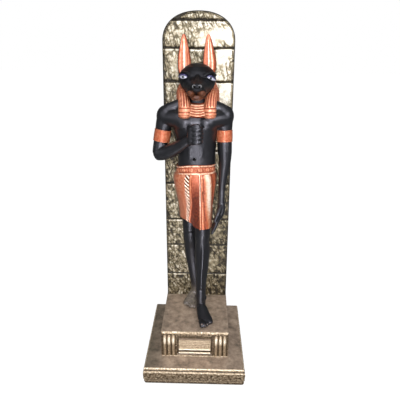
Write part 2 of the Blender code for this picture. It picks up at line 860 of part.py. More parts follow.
def reach_to_ellipse(turn, centre, halves):
    """How far a ray from the kilt's axis runs before it leaves an ellipse, in plan."""
    ox, oy = KILT_AXIS[0] - centre[0], KILT_AXIS[1] - centre[1]
    dx, dy = math.sin(turn), math.cos(turn)
    a = (dx / halves[0]) ** 2 + (dy / halves[1]) ** 2
    b = ox * dx / halves[0] ** 2 + oy * dy / halves[1] ** 2
    c = (ox / halves[0]) ** 2 + (oy / halves[1]) ** 2 - 1
    return (-b + math.sqrt(max(b * b - a * c, 0.0))) / a


def reach_to_thighs(turn):
    """How far that ray runs before it leaves cloth stretched round both thighs."""
    reaches = []
    for i in range(-16, 17):
        normal = turn + math.radians(5 * i)
        nx, ny = math.sin(normal), math.cos(normal)
        support = max(
            (x - KILT_AXIS[0]) * nx + (front - KILT_AXIS[1]) * ny + math.hypot(wide * nx, deep * ny)
            for (x, front), (wide, deep) in THIGHS
        )
        reaches.append(support / math.cos(normal - turn))
    return min(reaches)


def kilt_point(turn, up, proud):
    """A point this far proud of the kilt: hips above, two thighs towards the hem."""
    fall = (KILT_TOP - up) / (KILT_TOP - KILT_HEM + HEM_SLOPE + HEM_DROP)
    swell = math.sin(math.pi * max(0.0, min(1.0, fall * 1.6))) * 2.8
    waist = 3.0 * max(0.0, 1 - fall / 0.16)
    hips = reach_to_ellipse(turn, (-3.5, 29.5), (34 + swell - waist, 29 + 0.6 * swell - 0.6 * waist))
    share = fall * fall * (3 - 2 * fall) * 0.35 + 0.65 * fall
    out = hips * (1 - share) + reach_to_thighs(turn) * share + proud
    return at(KILT_AXIS[0] + out * math.sin(turn), KILT_AXIS[1] + out * math.cos(turn), up)


def hem_height(turn):
    """The hem slopes down to the border and drops past it to the stepping leg."""
    slope = max(0.0, min(1.0, (turn - 4 * BORDER_TURN) / (-3 * BORDER_TURN)))
    drop = max(0.0, min(1.0, (turn - APRON_TURN) / (-0.9 * APRON_TURN)))
    return KILT_HEM - HEM_SLOPE * slope - HEM_DROP * drop


def kilt():
    """The wrapped kilt: a plain side that carries the fan, a border, a flat apron and upright pleats."""
    fan_edge = BORDER_TURN - 1.1 * FAN_SWEEP
    columns = [(PLAIN_START + (fan_edge - PLAIN_START) * i / 6, 0.6) for i in range(6)]
    columns += [(fan_edge + (BORDER_TURN - fan_edge) * i / 4, 0.6) for i in range(5)]
    columns += [(BORDER_TURN + 0.02, 2.2), (APRON_TURN - 0.02, 2.2), (APRON_TURN, 0.0)]
    columns += [(0.1 * APRON_TURN, 0.0), (RIGHT_PLEATS[0] - 0.03, 0.0)]
    for start, end in zip(RIGHT_PLEATS, RIGHT_PLEATS[1:]):
        for share, proud in ((0.04, 0.5), (0.3, 1.9), (0.7, 1.9)):
            columns.append((start + (end - start) * share, proud))
    last = RIGHT_PLEATS[-1]
    columns += [(last + (PLAIN_START + 2 * math.pi - last) * i / 4, 0.6) for i in range(4)]
    rings = []
    for row in range(KILT_ROWS + 1):
        points = []
        for turn, proud in columns:
            up = KILT_TOP + (hem_height(turn) - KILT_TOP) * row / KILT_ROWS
            points.append(kilt_point(turn, up, proud))
        rings.append(points)
    bm = bmesh.new()
    skin_rings(bm, rings, hubs=[at(*KILT_AXIS, KILT_TOP), at(*KILT_AXIS, KILT_HEM)])
    return new_object("kilt", bm)


def fan_ribs():
    """The fan beside the border: thin curved folds that climb away from it, one above the other."""
    made = []
    for i in range(FAN_RIBS):
        foot = KILT_HEM + FAN_SPACING * i
        rings = []
        for step in range(4):
            share = step / 3
            turn = BORDER_TURN + 0.015 - FAN_SWEEP * (1 - (1 - share) ** 2)
            up = foot + FAN_CLIMB * (0.75 * share + 0.25 * share * share)
            half = 2.2 * (1 - 0.5 * share)
            crest = 2.0 * (1 - 0.6 * share)
            ring = [(half, -1.5), (0.0, crest), (-half, -1.5)]
            rings.append([kilt_point(turn, up + across, 0.6 + out) for across, out in ring])
        bm = bmesh.new()
        skin_rings(bm, rings)
        made.append(new_object(f"fan_rib_{i}", bm))
    return made


def make_figure(finish):
    """Body, head, dress and jewels joined as one casting, flat where it meets the slab and the pedestal."""
    figure = cast("figure", (torso, right_arm, left_arm, front_leg, rear_leg, feet), BODY_GRAIN, BODY_KEPT)
    figure.data.materials.append(finish)
    joined = [cast("head", (head,), HEAD_GRAIN, HEAD_KEPT), *fist_digits(), *hanging_digits(), *toes()]
    joined += [
        eye("eye_right", -1, 418.6, 0.0),
        eye("eye_left", 1, 417.6, 0.25),
        ear("ear_right", -20.6, -21.6),
        ear("ear_left", 17.9, 15.4),
        lappet("lappet_right", -1),
        lappet("lappet_left", 1),
        mantle(),
        collar(),
        armband("armband_right", (-59.4, 30.8, 315.5), (-56, 29.4, 334.5), 12.9),
        armband("armband_left", (44.5, 31, 316.5), (44, 29.4, 335), 12.0),
        belt(),
        kilt(),
        *fan_ribs(),
    ]
    # The exact solver leaves open edges among this many small overlaps, and this one never does.
    boolean(figure, "UNION", collect("dress and limbs", joined), solver="MANIFOLD")
    reach = FIGURE_HEIGHT / 2
    low = (-reach, slab_front - reach, pedestal_top + CLEARANCE)
    high = (reach, slab_front - CLEARANCE, pedestal_top + FIGURE_HEIGHT * 1.3)
    boolean(figure, "INTERSECT", helper(block("room_for_figure", low, high)), solver="MANIFOLD")
    return figure


def main():
    clear_scene()
    gilt = paint("antique_gilt_paint", (0.42, 0.36, 0.24), 0.42, 0.6)
    black = paint("black_gloss_paint", (0.012, 0.013, 0.014), 0.25, 0.0)
    make_plinth(gilt)
    make_pedestal(gilt)
    make_slab(gilt)
    make_figure(black)


main()
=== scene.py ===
# %% [markdown]
# # A jackal-headed figurine, dressed for the camera
#
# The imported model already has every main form: a plinth, a pedestal, an upright slab and the figure before it.
# This lesson lays the fine surface over those forms. The real piece is cast plaster, painted gloss black and
# copper, with dull gold rubbed over its stonework. We work from large to small: skin first, then dress and
# jewels, then stone, then paint, and the light and the camera last.

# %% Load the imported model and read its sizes
import math
from functools import cache, partial

import bpy
from mathutils import Matrix, Vector, noise


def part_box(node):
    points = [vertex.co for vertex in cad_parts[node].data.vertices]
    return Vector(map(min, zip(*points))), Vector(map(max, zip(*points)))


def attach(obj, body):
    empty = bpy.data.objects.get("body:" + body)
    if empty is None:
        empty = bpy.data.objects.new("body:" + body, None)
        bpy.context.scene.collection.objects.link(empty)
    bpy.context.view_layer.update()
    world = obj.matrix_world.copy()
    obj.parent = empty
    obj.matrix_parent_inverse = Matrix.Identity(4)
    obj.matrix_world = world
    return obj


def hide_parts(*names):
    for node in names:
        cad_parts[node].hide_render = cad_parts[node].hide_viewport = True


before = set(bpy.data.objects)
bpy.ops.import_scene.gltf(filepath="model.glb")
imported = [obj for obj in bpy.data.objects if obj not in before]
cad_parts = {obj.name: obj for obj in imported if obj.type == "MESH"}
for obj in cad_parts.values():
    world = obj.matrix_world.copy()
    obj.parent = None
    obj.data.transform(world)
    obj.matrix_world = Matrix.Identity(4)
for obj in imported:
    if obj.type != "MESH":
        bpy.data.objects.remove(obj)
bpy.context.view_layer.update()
slab_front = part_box("slab")[0].y
pedestal_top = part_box("pedestal")[1].z
EAR_TIP = 478.5
unit = (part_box("figure")[1].z - pedestal_top) / EAR_TIP
print(f"slab front at y {slab_front:.4f}, pedestal top at z {pedestal_top:.4f}, one grid part is {unit * 1000:.3f} mm")

# %% [markdown]
# ## A grid for the figure
#
# A sculptor measures a figure in shares of its height. Here one part of the grid is close to a millimetre:
# `x` runs across, `front` is how far a point stands out from the slab, and `up` is its height over the
# pedestal. Every operator acts on whatever is selected, so each step starts by selecting nothing.

# %% The grid, and a clean selection


def at(x, front, up):
    """A point of the figure's grid, in metres."""
    return Vector((x * unit, slab_front - front * unit, pedestal_top + up * unit))


def only(*chosen):
    """Selects these objects and nothing else, and makes the first one active."""
    bpy.ops.object.select_all(action="DESELECT")
    for one in chosen:
        one.select_set(True)
    if chosen:
        bpy.context.view_layer.objects.active = chosen[0]


def apply_all(piece):
    """Applies every modifier, as if by hand, from the top down."""
    only(piece)
    for modifier in list(piece.modifiers):
        bpy.ops.object.modifier_apply(modifier=modifier.name)


def open_all(piece):
    """Opens a piece in edit mode with all of it selected."""
    only(piece)
    bpy.ops.object.mode_set(mode="EDIT")
    bpy.ops.mesh.select_all(action="SELECT")


def close_outwards():
    """Turns every face outwards and leaves edit mode."""
    bpy.ops.mesh.normals_make_consistent(inside=False)
    bpy.ops.object.mode_set(mode="OBJECT")


def name_piece(piece, name, sharp=80):
    """Names a finished piece, rounds its shading but for sharper edges, and lets it ride with the figurine."""
    piece.name = piece.data.name = name
    only(piece)
    bpy.ops.object.shade_smooth_by_angle(angle=math.radians(sharp))
    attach(piece, "root")
    piece.data.calc_loop_triangles()
    print(f"{name}: {len(piece.data.loop_triangles)} triangles")
    return piece


def join_as(name, parts):
    """Joins small parts of one kind into one finished piece."""
    only(*parts)
    bpy.ops.object.join()
    return name_piece(bpy.context.object, name)


# %% [markdown]
# ## Four ways to make a form
#
# A muscle is a **ball**. A trunk, a leg or a muzzle is a **loft**: one ring, extruded again and again and
# resized at each step. An arm or a finger is a **rod**: a curve with a bevel, whose radius changes from
# joint to joint. Those overlap freely, and a **cast** melts them into one skin with a voxel remesh and
# rubs the seams away. Thin dress with carved relief is a **wrap**: a fine grid laid round the body by a
# formula, because no brush would carve pleats as evenly as a sine wave does.

# %% Ball, loft and rod


def ball(place, size):
    """A muscle: a sphere with three half sizes."""
    only()
    scale = [size[0] * unit, size[1] * unit, size[2] * unit]
    bpy.ops.mesh.primitive_uv_sphere_add(segments=32, ring_count=16, radius=1, location=at(*place), scale=scale)
    bpy.ops.object.transform_apply(location=True, rotation=True, scale=True)
    return bpy.context.object


def loft(stations, fullness=2.0, lying=False, sides=48):
    """One ring, extruded through stations of (x, front, up, half width, half depth). Fullness squares it off."""
    only()
    x, front, up, wide, deep = stations[0]
    bpy.ops.mesh.primitive_circle_add(vertices=sides, radius=1, fill_type="NGON")
    ring = bpy.context.object
    for corner in ring.data.vertices:
        for i in (0, 1):
            corner.co[i] = math.copysign(abs(corner.co[i]) ** (2 / fullness), corner.co[i])
    ring.rotation_euler.x = math.pi / 2 if lying else 0.0
    ring.scale = (wide * unit, deep * unit, 1)
    ring.location = at(x, front, up)
    bpy.ops.object.transform_apply(location=True, rotation=True, scale=True)
    open_all(ring)
    for before, after in zip(stations, stations[1:]):
        step = at(*after[:3]) - at(*before[:3])
        bpy.ops.mesh.extrude_region_move(TRANSFORM_OT_translate={"value": step})
        wider, deeper = after[3] / before[3], after[4] / before[4]
        grow = (wider, 1, deeper) if lying else (wider, deeper, 1)
        bpy.ops.transform.resize(value=grow, center_override=at(*after[:3]))
    bpy.ops.object.mode_set(mode="OBJECT")
    return ring


def rod(joints):
    """A round limb through joints of (x, front, up, radius)."""
    only()
    bpy.ops.curve.primitive_bezier_curve_add()
    limb = bpy.context.object
    limb.data.bevel_depth = unit
    limb.data.bevel_resolution = 6
    limb.data.use_fill_caps = True
    spline = limb.data.splines[0]
    spline.bezier_points.add(len(joints) - 2)
    for point, (*place, radius) in zip(spline.bezier_points, joints):
        point.co = at(*place)
        point.radius = radius
        point.handle_left_type = point.handle_right_type = "AUTO"
    bpy.ops.object.convert(target="MESH")
    return bpy.context.object


# %% Cast and wrap


def cast(name, parts, grain, rubs=6):
    """Melts overlapping forms into one skin of that grain, and rubs it smooth."""
    only(*parts)
    bpy.ops.object.join()
    skin = bpy.context.object
    open_all(skin)
    close_outwards()
    melt = skin.modifiers.new("melt", "REMESH")
    melt.mode = "VOXEL"
    melt.voxel_size = grain * unit
    rub = skin.modifiers.new("rub", "SMOOTH")
    rub.factor = 0.5
    rub.iterations = rubs
    apply_all(skin)
    return name_piece(skin, name)


def keep_value(piece, label, values):
    """Stores one number for each point of a piece, for its paint to read."""
    attribute = piece.data.attributes.new(label, "FLOAT", "POINT")
    attribute.data.foreach_set("value", values)


def wrap(name, across, along, place, shape, hubs=None, wall=0.0, sharp=55):
    """A fine grid laid over a form. shape(u, v) gives how proud it stands and its tone, and place the point.

    Two hubs close it into a tube: its first and last rows gather on them. A wall makes a sheet solid instead.
    """
    only()
    rows = along + 2 if hubs else along
    bpy.ops.mesh.primitive_grid_add(x_subdivisions=across, y_subdivisions=rows, size=1)
    cloth = bpy.context.object
    tones = []
    for corner in cloth.data.vertices:
        u, row = corner.co.x + 0.5, round((corner.co.y + 0.5) * rows)
        v = min(max((row - 1) / along, 0.0), 1.0) if hubs else row / rows
        proud, tone = shape(u, v)
        corner.co = hubs[row == rows] if hubs and row in (0, rows) else place(u, v, proud)
        tones.append(tone)
    keep_value(cloth, "relief", tones)
    open_all(cloth)
    if hubs:
        bpy.ops.mesh.remove_doubles(threshold=1e-6)
    close_outwards()
    if wall:
        solid = cloth.modifiers.new("wall", "SOLIDIFY")
        solid.thickness = wall * unit
        solid.offset = -1
        apply_all(cloth)
    return name_piece(cloth, name, sharp)


def between(stations, share):
    """Values at a share of the way along stations, on a smooth curve through them (Catmull and Rom's)."""
    span = min(share, 0.999999) * (len(stations) - 1)
    i = int(span)
    t = span - i
    p = [stations[min(max(i + k, 0), len(stations) - 1)] for k in (-1, 0, 1, 2)]
    values = []
    for a, b, c, d in zip(*p):
        values.append(b + 0.5 * t * (c - a + t * (2 * a - 5 * b + 4 * c - d + t * (3 * (b - c) + d - a))))
    return values


def ring_point(x, front, up, wide, deep, turn, fullness=2.0):
    """A point of a level ring; turn 0 is its left side and a quarter turn faces front."""
    c, s = math.cos(turn), math.sin(turn)
    across = math.copysign(abs(c) ** (2 / fullness), c) * wide
    out = math.copysign(abs(s) ** (2 / fullness), s) * deep
    return at(x + across, front + out, up)


def smooth_step(low, high, value):
    """0 below low, 1 above high, and an easy slope between."""
    t = max(0.0, min(1.0, (value - low) / (high - low)))
    return t * t * (3 - 2 * t)


# %% [markdown]
# ## The trunk
#
# The torso is long and lean in the Egyptian manner. A lofted trunk gives its outline, and balls give the
# chest, the two long belly muscles, the shoulders and the seat. The navel is a small ring round a matt black
# disc, painted shade where its hollow would be: on the real piece its lip catches the light.

# %% Trunk and neck
trunk_stations = [
    (-1.5, 25, 214, 20, 14),
    (-1.5, 26, 232, 29, 20),
    (-1.5, 27.5, 256, 31, 25),
    (-1, 28, 276, 31.5, 26),
    (-0.7, 28, 290, 31, 25),
    (-1.2, 28, 306, 31.5, 25.5),
    (-2.6, 28.5, 322, 32.8, 27.5),
    (-3.2, 29, 338, 36, 28.5),
    (-3.4, 29, 350, 41, 27.5),
    (-3.2, 28, 361, 42, 24),
    (-2.5, 27, 370, 34, 20),
    (-1, 27, 378, 21, 17),
    (0, 28, 388, 15.5, 15),
    (0, 30, 404, 15, 15),
]
trunk = [loft(trunk_stations, fullness=2.3)]
for side in (-1, 1):
    trunk.append(ball((16.5 * side - 2.5, 40, 348), (19, 18.6, 15.5)))
    trunk.append(ball((14 * side - 1, 16, 236), (16, 15, 18)))
    trunk.append(rod([(4 * side - 2, 43, 350, 10), (20 * side - 2, 43.5, 352, 13), (34 * side - 2.5, 38, 354, 13.5),
                      (46 * side - 3, 31, 354, 14)]))
    trunk.append(rod([(7 * side - 1.5, 26, 386, 8), (18 * side - 2, 26, 377, 10), (33 * side - 2.5, 27, 370, 11),
                      (44 * side - 3, 28, 365, 11.5)]))
    trunk.append(rod([(8.6 * side - 1.6, 45, 335, 7), (8.8 * side - 1.6, 45.2, 316, 8.4),
                      (8.6 * side - 1.8, 45, 298, 8.6), (8 * side - 2, 44, 282, 6)]))
trunk.append(ball((-50.5, 28, 356), (16.2, 16, 18)))
trunk.append(ball((43, 28, 357), (15.8, 16, 18)))
trunk.append(rod([(-46, 28, 368, 9), (-50, 28, 358, 15), (-54.5, 29, 343, 13.6), (-57, 29.6, 330, 12.4)]))
trunk.append(rod([(37.5, 28, 369, 9), (42, 28, 359, 15), (43.8, 29, 343, 13.2), (44.2, 29.6, 330, 12)]))
torso_skin = cast("torso_skin", trunk, grain=1.2, rubs=10)

# %% The navel: a lip round a matt black disc, painted shade for its hollow
bpy.context.view_layer.update()
_, belly, _, _ = torso_skin.ray_cast(at(-4.2, 90, 291), Vector((0, 1, 0)))
NAVEL = (-4.2, (slab_front - belly.y) / unit + 0.1, 291)
print(f"the belly stands {NAVEL[1]:.1f} out from the slab at the navel")
only()
bpy.ops.mesh.primitive_torus_add(
    location=at(*NAVEL),
    rotation=(math.pi / 2, 0, 0),
    major_segments=32,
    minor_segments=12,
    major_radius=3.1 * unit,
    minor_radius=0.6 * unit,
)
bpy.ops.object.transform_apply(location=True, rotation=True, scale=True)
navel_lip = name_piece(bpy.context.object, "navel_lip")
navel_shade_disc = name_piece(ball((NAVEL[0], NAVEL[1] - 0.4, NAVEL[2]), (2.7, 1.0, 2.7)), "navel_shade_disc")

# %% [markdown]
# ## The arms
#
# One arm folds across the chest and ends in a fist. The other hangs beside the kilt with its hand open.
# Both start under the armbands, which hide the seam with the trunk, so the hands can have a finer grain.

# %% The folded arm and its fist
right_arm = [
    rod([(-55, 29.2, 338, 12.6), (-58, 30, 327, 12.2), (-60.7, 32, 312, 11.8), (-62.5, 35, 298, 11.6),
         (-63, 36, 288.5, 6)]),
    rod([(-71, 33.5, 297, 5), (-64.5, 36, 296.5, 11.8), (-54, 40, 298.5, 12), (-40, 47, 305, 11.2),
         (-28, 54, 313, 10), (-18, 61, 321, 8.8), (-9, 66, 328, 8.2)]),
    loft([(-6, 66, 318, 6.5, 6), (-6, 67, 322.5, 9.6, 8.4), (-5.2, 68, 334.5, 10.2, 9), (-4.7, 68.5, 344.5, 9, 8.2),
          (-5, 69, 348.5, 5.5, 5)], fullness=2.6),
]
for i in range(4):
    up = 323.5 + 6.5 * i
    right_arm.append(rod([(-7, 74, up - 1, 2.4), (-3.5, 76, up - 0.7, 3.5), (2.4, 76.6, up, 3.7), (6, 73, up, 3.6),
                          (6.6, 68, up, 3.2)]))
right_arm.append(rod([(-13.5, 66.5, 340, 3), (-8.5, 71, 345, 3.8), (-4, 74.6, 347.6, 3.5), (2.6, 75.6, 348.2, 3.2),
                      (4.8, 75, 348, 1.8)]))
right_arm_skin = cast("right_arm_skin", right_arm, grain=0.82, rubs=4)

# %% The hanging arm and its open hand
left_arm = [
    rod([(44.2, 29.6, 335, 12.4), (44.4, 30, 327, 11.7), (44.8, 32, 312, 12.2), (45.4, 34, 300, 11.8),
         (46, 36, 286, 10.1), (44.9, 38, 272, 8.8), (43.1, 41.5, 255, 7), (41.9, 46, 237, 5.4), (41.5, 51, 221, 5.4),
         (41, 53, 210, 6.2)]),
    loft([(41.8, 52, 217, 5.4, 6), (41.6, 55, 208, 7, 9), (39.4, 58, 199, 7, 10.8), (36, 60, 190.5, 5, 10.2)]),
]
for i, reach in enumerate((0.84, 1.0, 1.05, 0.95)):
    front = 51 + 5.7 * i
    left_arm.append(rod([(38.5, front - 1, 201, 3), (36, front + 1, 194, 3.2), (31.9, front + 3.5, 195 - 14 * reach, 3),
                         (28.4, front + 4.6, 195 - 22 * reach, 2.9), (26, front + 5, 195 - 28 * reach, 1.7)]))
left_arm.append(rod([(41, 58, 213, 3), (38.5, 63, 208, 3.6), (35, 70, 201.5, 3.2), (31.3, 72, 193, 2.9),
                     (30.2, 72, 190, 1.6)]))
left_arm_skin = cast("left_arm_skin", left_arm, grain=0.82, rubs=4)

# %% [markdown]
# ## The legs
#
# The left leg steps forward, as in every Egyptian standing figure. Each leg is a level loft from hip to
# ankle, with a ball for the kneecap and for each ankle bone. The feet are lofts that lie down, from heel
# to toes, and the toes are short rods.

# %% Legs, feet and toes
legs = [
    loft([(14, 31, 232, 13, 14), (12.5, 37, 215, 12.6, 13.5), (11, 43, 188, 13, 15), (10.6, 46, 166, 13.4, 15),
          (10.3, 46.5, 154, 13.4, 14.5), (10.1, 45, 142, 12.4, 13.5), (10.6, 42, 128, 13.4, 14.5),
          (10.6, 40.5, 116, 13.6, 15), (10.6, 41, 100, 12.4, 14), (10.2, 42.5, 84, 11.2, 12.5),
          (9.6, 44.5, 66, 9.8, 11), (9.1, 46.5, 48, 8.7, 10), (8.9, 48, 32, 8.7, 10.5), (9, 48, 16, 9.2, 11.5),
          (9.3, 47, 3, 8.2, 10.5)]),
    loft([(-14.5, 24, 232, 12, 13), (-14, 22, 215, 12.4, 13), (-13, 20, 188, 13, 14), (-12.2, 18, 162, 13.6, 15),
          (-11.8, 17, 146, 13.4, 14.5), (-11, 14, 130, 13.2, 14), (-10, 11.5, 114, 13.2, 11.5),
          (-8.7, 10, 98, 13.2, 10), (-7, 9, 82, 12.2, 9), (-5.4, 9, 66, 11, 8.8), (-3.5, 9, 48, 9.9, 8.8),
          (-1.4, 9, 32, 9.3, 8.8),
          (-0.8, 9, 16, 9, 8.8), (-1, 8.5, 3, 8, 8)]),
    ball((11.4, 54.6, 161), (8.2, 7, 10)),
    ball((11, 54.5, 148), (5.5, 4.6, 6)),
    ball((-12.5, 27.6, 158), (8.2, 6.5, 10)),
    ball((17, 48, 27), (3, 4.5, 4.5)),
    ball((0.6, 48, 29), (3, 4.5, 4.5)),
    ball((-8.6, 7, 28), (3, 4.5, 4.5)),
    rod([(11.6, 56, 140, 2.5), (11.4, 54.6, 110, 3.6), (10.2, 54.8, 80, 3), (9.4, 56, 50, 2.4)]),
]
# Each foot: where its shin stands, how far it turns out, its big toe's side, its length and its breadth.
FEET = {
    "left": ((9.3, 50), math.radians(14), -1, 1.0, 1.05),
    "right": ((-1.5, 2), math.radians(-16), 1, 0.86, 1.15),
}
SOLE = [(0, -12, 6, 5.5, 5.5), (0, -9, 7, 8, 7), (0, 0, 9, 9.2, 9), (0.3, 12, 10, 9.8, 10.5), (0.3, 22, 8, 11, 8.4),
        (0, 33, 6, 12, 6.2), (-0.2, 41, 4.6, 11.8, 4.8), (-0.3, 44.5, 4, 9.5, 3.6)]
TOE_REACH = (52, 53.5, 51, 47.5, 42.5)


def foot_point(foot, across, forward, up):
    """A point of a foot, across and forward from under its shin."""
    (x, front), turn, _, length, breadth = FEET[foot]
    across, forward = across * breadth, forward * length
    c, s = math.cos(turn), math.sin(turn)
    return (x + c * across + s * forward, front + c * forward - s * across, up)


nails = []
for foot, (_, turn, inner, _, breadth) in FEET.items():
    sole = [(*foot_point(foot, x * inner, y, up), w * breadth, h) for x, y, up, w, h in SOLE]
    legs.append(loft([place for place in sole if place[1] > 0.8], lying=True))
    for i, reach in enumerate(TOE_REACH):
        across = inner * (8.8 - 4.7 * i)
        radius = 4.3 if i == 0 else 3.0 - 0.15 * i
        joints = ((reach - 14, 5.2, radius), (reach - 6, 5.6, 0.92 * radius), (reach - 0.7 * radius, 3.6, radius),
                  (reach, 3.0, 0.5 * radius))
        legs.append(rod([(*foot_point(foot, across, forward, up), r) for forward, up, r in joints]))
        nail = foot_point(foot, across, reach - 0.9 * radius, 3.6 + 0.72 * radius)
        nails.append(ball(nail, (0.6 * radius, 0.75 * radius, 0.42 * radius)))
leg_skin = cast("leg_skin", legs, grain=1.1, rubs=4)
toenails = join_as("toenails", nails)


def rear_foot_painted_light(point):
    """The rear foot is painted pale grey-brown as painted light, and the front one stays black."""
    x, up = point.x / unit, (point.z - pedestal_top) / unit
    return smooth_step(40, 16, up) * smooth_step(3, -2, x)


keep_value(leg_skin, "dust_and_painted_light", [rear_foot_painted_light(corner.co) for corner in leg_skin.data.vertices])

# %% [markdown]
# ## The head
#
# A jackal's head from the front is a broad skull, level brows, a tapering muzzle that points at us, and
# two loose upper lips over a small jaw. The lips and the chin are painted brown on the real piece, so
# each point of the skin remembers how brown it is.

# %% Skull, muzzle and jaw
EYE_UP = {-1: 417.9, 1: 417.6}
EYE_DROOP = {-1: 0.0, 1: 0.26}
skull = [
    loft([(-0.6, 34, 438, 3, 4), (-0.6, 34, 436.6, 10, 10), (-0.6, 35, 432.5, 18.6, 17), (-0.6, 36, 426, 25, 22),
          (-0.6, 36.5, 419, 28.8, 24.6), (-0.4, 37, 412, 28.8, 25), (-0.2, 37.5, 406, 26.5, 24),
          (0, 38, 401, 23.8, 22.5), (0, 38, 396, 20.4, 20.5), (0, 38, 391, 16.6, 18), (0, 36, 386, 12, 15)]),
    loft([(0, 40, 411, 25, 20), (0, 50, 408, 23, 17), (0, 60, 405.5, 19.6, 13.6), (0, 70, 404.6, 16, 10.8),
          (0, 80, 404.4, 12.8, 8.9), (0.2, 88, 404.4, 10, 7.2), (0.4, 94, 405.4, 6.6, 4.6)], lying=True),
    loft([(0, 46, 392.5, 15, 7), (0, 58, 390.6, 12, 5.4), (0, 70, 389.6, 9.6, 4.4), (-0.4, 80, 390, 7.6, 4),
          (-0.4, 86, 391, 4.6, 2.8)], lying=True),
    ball((0.6, 93, 407.4), (6.4, 4.6, 4.2)),
    rod([(0, 54, 421, 3), (0, 66, 415.5, 4), (0, 80, 411.5, 3.6), (0.4, 90, 409.6, 2.4)]),
]
for side in (-1, 1):
    up = EYE_UP[side]
    skull.append(ball((8.2 * side - 0.8, 77, 397.8), (6.6, 11.5, 5.6)))
    skull.append(ball((20.6 * side - 0.6, 49.6, up - 0.6), (6.8, 6.2, 4.4)))
    skull.append(rod([(9 * side, 59, up + 2, 1.6), (15.5 * side, 56.6, up + 5.4, 2.2), (23 * side, 49.6, up + 6, 2.2),
                      (28.2 * side, 41, up + 2.4, 1.4)]))
head_skin = cast("head_skin", skull, grain=0.7, rubs=4)


def brownness(point):
    """How much of the brown lip paint lies at a point: an arch over each lip, and the chin."""
    x = point.x / unit
    front = (slab_front - point.y) / unit
    up = (point.z - pedestal_top) / unit
    arch = max(0.0, 1 - ((abs(x + 0.8) - 8.4) / 7.6) ** 2)
    lip_line = 393.6 + 7.0 * math.sqrt(arch)
    return smooth_step(0.5, -0.5, up - lip_line) * smooth_step(60, 66, front)


keep_value(head_skin, "brown", [brownness(corner.co) for corner in head_skin.data.vertices])

# %% Nostrils: two small comma-shaped rims painted grey as a painted highlight, each round a matt black ball, painted shade for its hollow
rims, shade_spots = [], []
for side, shift in ((-1, -3.4), (1, 4.4)):
    rims.append(rod([(shift - 1.6 * side, 97.4, 408.4, 0.3), (shift + 0.6 * side, 97.4, 409.2, 0.5),
                     (shift + 2.0 * side, 96.6, 407.4, 0.5), (shift + 1.6 * side, 96.4, 404.8, 0.3)]))
    shade_spots.append(ball((shift, 96.6, 406.4), (1.4, 1.4, 1.4)))
nostril_rims = join_as("nostril_rims", rims)
nostril_shade_spots = join_as("nostril_shade_spots", shade_spots)

# %% [markdown]
# ## The eyes
#
# The eyes are the liveliest spot: white almonds that droop a little outwards, a black pupil on each, and
# a blue-violet line along the upper lid. The almond is a wrap round five stations, the pupil a flat ball
# and the lid a thin rod, so that each keeps its own crisp paint.

# %% Almonds, pupils and lids
ALMONDS = {
    -1: [(15.2, 57.0, 0.0, 0.4, 0.8), (18.2, 57.8, 0.1, 2.1, 2.8), (22.0, 55.6, 0.2, 2.8, 3.2),
         (26.0, 51.0, -0.1, 2.1, 3.0), (29.6, 44.6, -0.6, 0.3, 1.2)],
    1: [(14.6, 57.2, 0.4, 0.4, 0.8), (17.4, 58.0, 0.5, 1.9, 2.8), (20.6, 56.2, 0.4, 2.5, 3.2),
        (24.4, 52.0, -0.2, 1.9, 3.0), (27.8, 46.2, -1.2, 0.3, 1.2)],
}
eyeballs, pupils, lids = [], [], []
for side, almond in ALMONDS.items():
    middle, droop, inner = EYE_UP[side], EYE_DROOP[side], almond[0][0]

    def eye_place(u, v, proud, side=side, almond=almond, middle=middle, droop=droop, inner=inner):
        x, front, rise, half, deep = between(almond, v)
        turn = 2 * math.pi * u
        up = middle + rise - droop * (x - inner) + half * math.sin(turn)
        return at(side * x, front + deep * math.cos(turn), up)

    corners = [eye_place(0.25, v, 0) for v in (0.0, 1.0)]
    eyeballs.append(wrap(f"eyeball_{side}", 32, 32, eye_place, lambda u, v: (0.0, 0.0), hubs=corners))
    x, front, rise, half, deep = between(almond, 0.44)
    pupils.append(ball((side * x, front + deep, middle + rise - droop * (x - inner)), (2.0, 0.9, 2.0)))
    line = []
    for i in range(7):
        x, front, rise, half, deep = between(almond, i / 6)
        up = middle + rise - droop * (x - inner) + half + 0.5
        line.append((side * x, front + 0.55 * deep, up, 0.5 + 0.5 * math.sin(math.pi * i / 6)))
    lids.append(rod(line))
eyes = join_as("eye_whites", eyeballs)
eye_pupils = join_as("eye_pupils", pupils)
eye_lids = join_as("eye_lids", lids)

# %% [markdown]
# ## The ears
#
# Tall and pricked, with a copper hollow that two ribs run up, inside a black rim. An ear is a wrap whose
# ring is dished on its front side, and the rim's points remember that they stay black.

# %% A pair of ears
EAR_OUTLINE = [(420, 8.2), (430, 10.2), (440, 10.3), (449, 9.3), (458, 7.4), (466, 5.6), (472, 4.2), (476, 2.9),
               (478, 1.6), (478.4, 0.6)]
EAR_PLACES = {"right": (-20.8, -21.6), "left": (17.9, 15.4)}
# Each rib in an ear's hollow: where it runs across, its width and its height.
EAR_RIBS = {
    "right": ((-0.06, 0.22, 1.0), (0.56, 0.1, 0.4), (-0.62, 0.1, 0.4)),
    "left": ((-0.14, 0.15, 1.0), (0.36, 0.13, 0.85), (-0.66, 0.1, 0.3)),
}


def ear_shape(u, v, ribs):
    """The ribs in the hollow; the rim and the back carry no copper, so their tone is below nought."""
    c, s = math.cos(2 * math.pi * u), math.sin(2 * math.pi * u)
    if s < 0.02 or abs(c) > 0.94:
        return -1.0, -1.0
    proud = sum(high * math.exp(-(((c - middle) / wide) ** 2)) for middle, wide, high in ribs)
    proud *= smooth_step(0.92, 0.5, v)
    return proud, 0.42 + 0.58 * proud


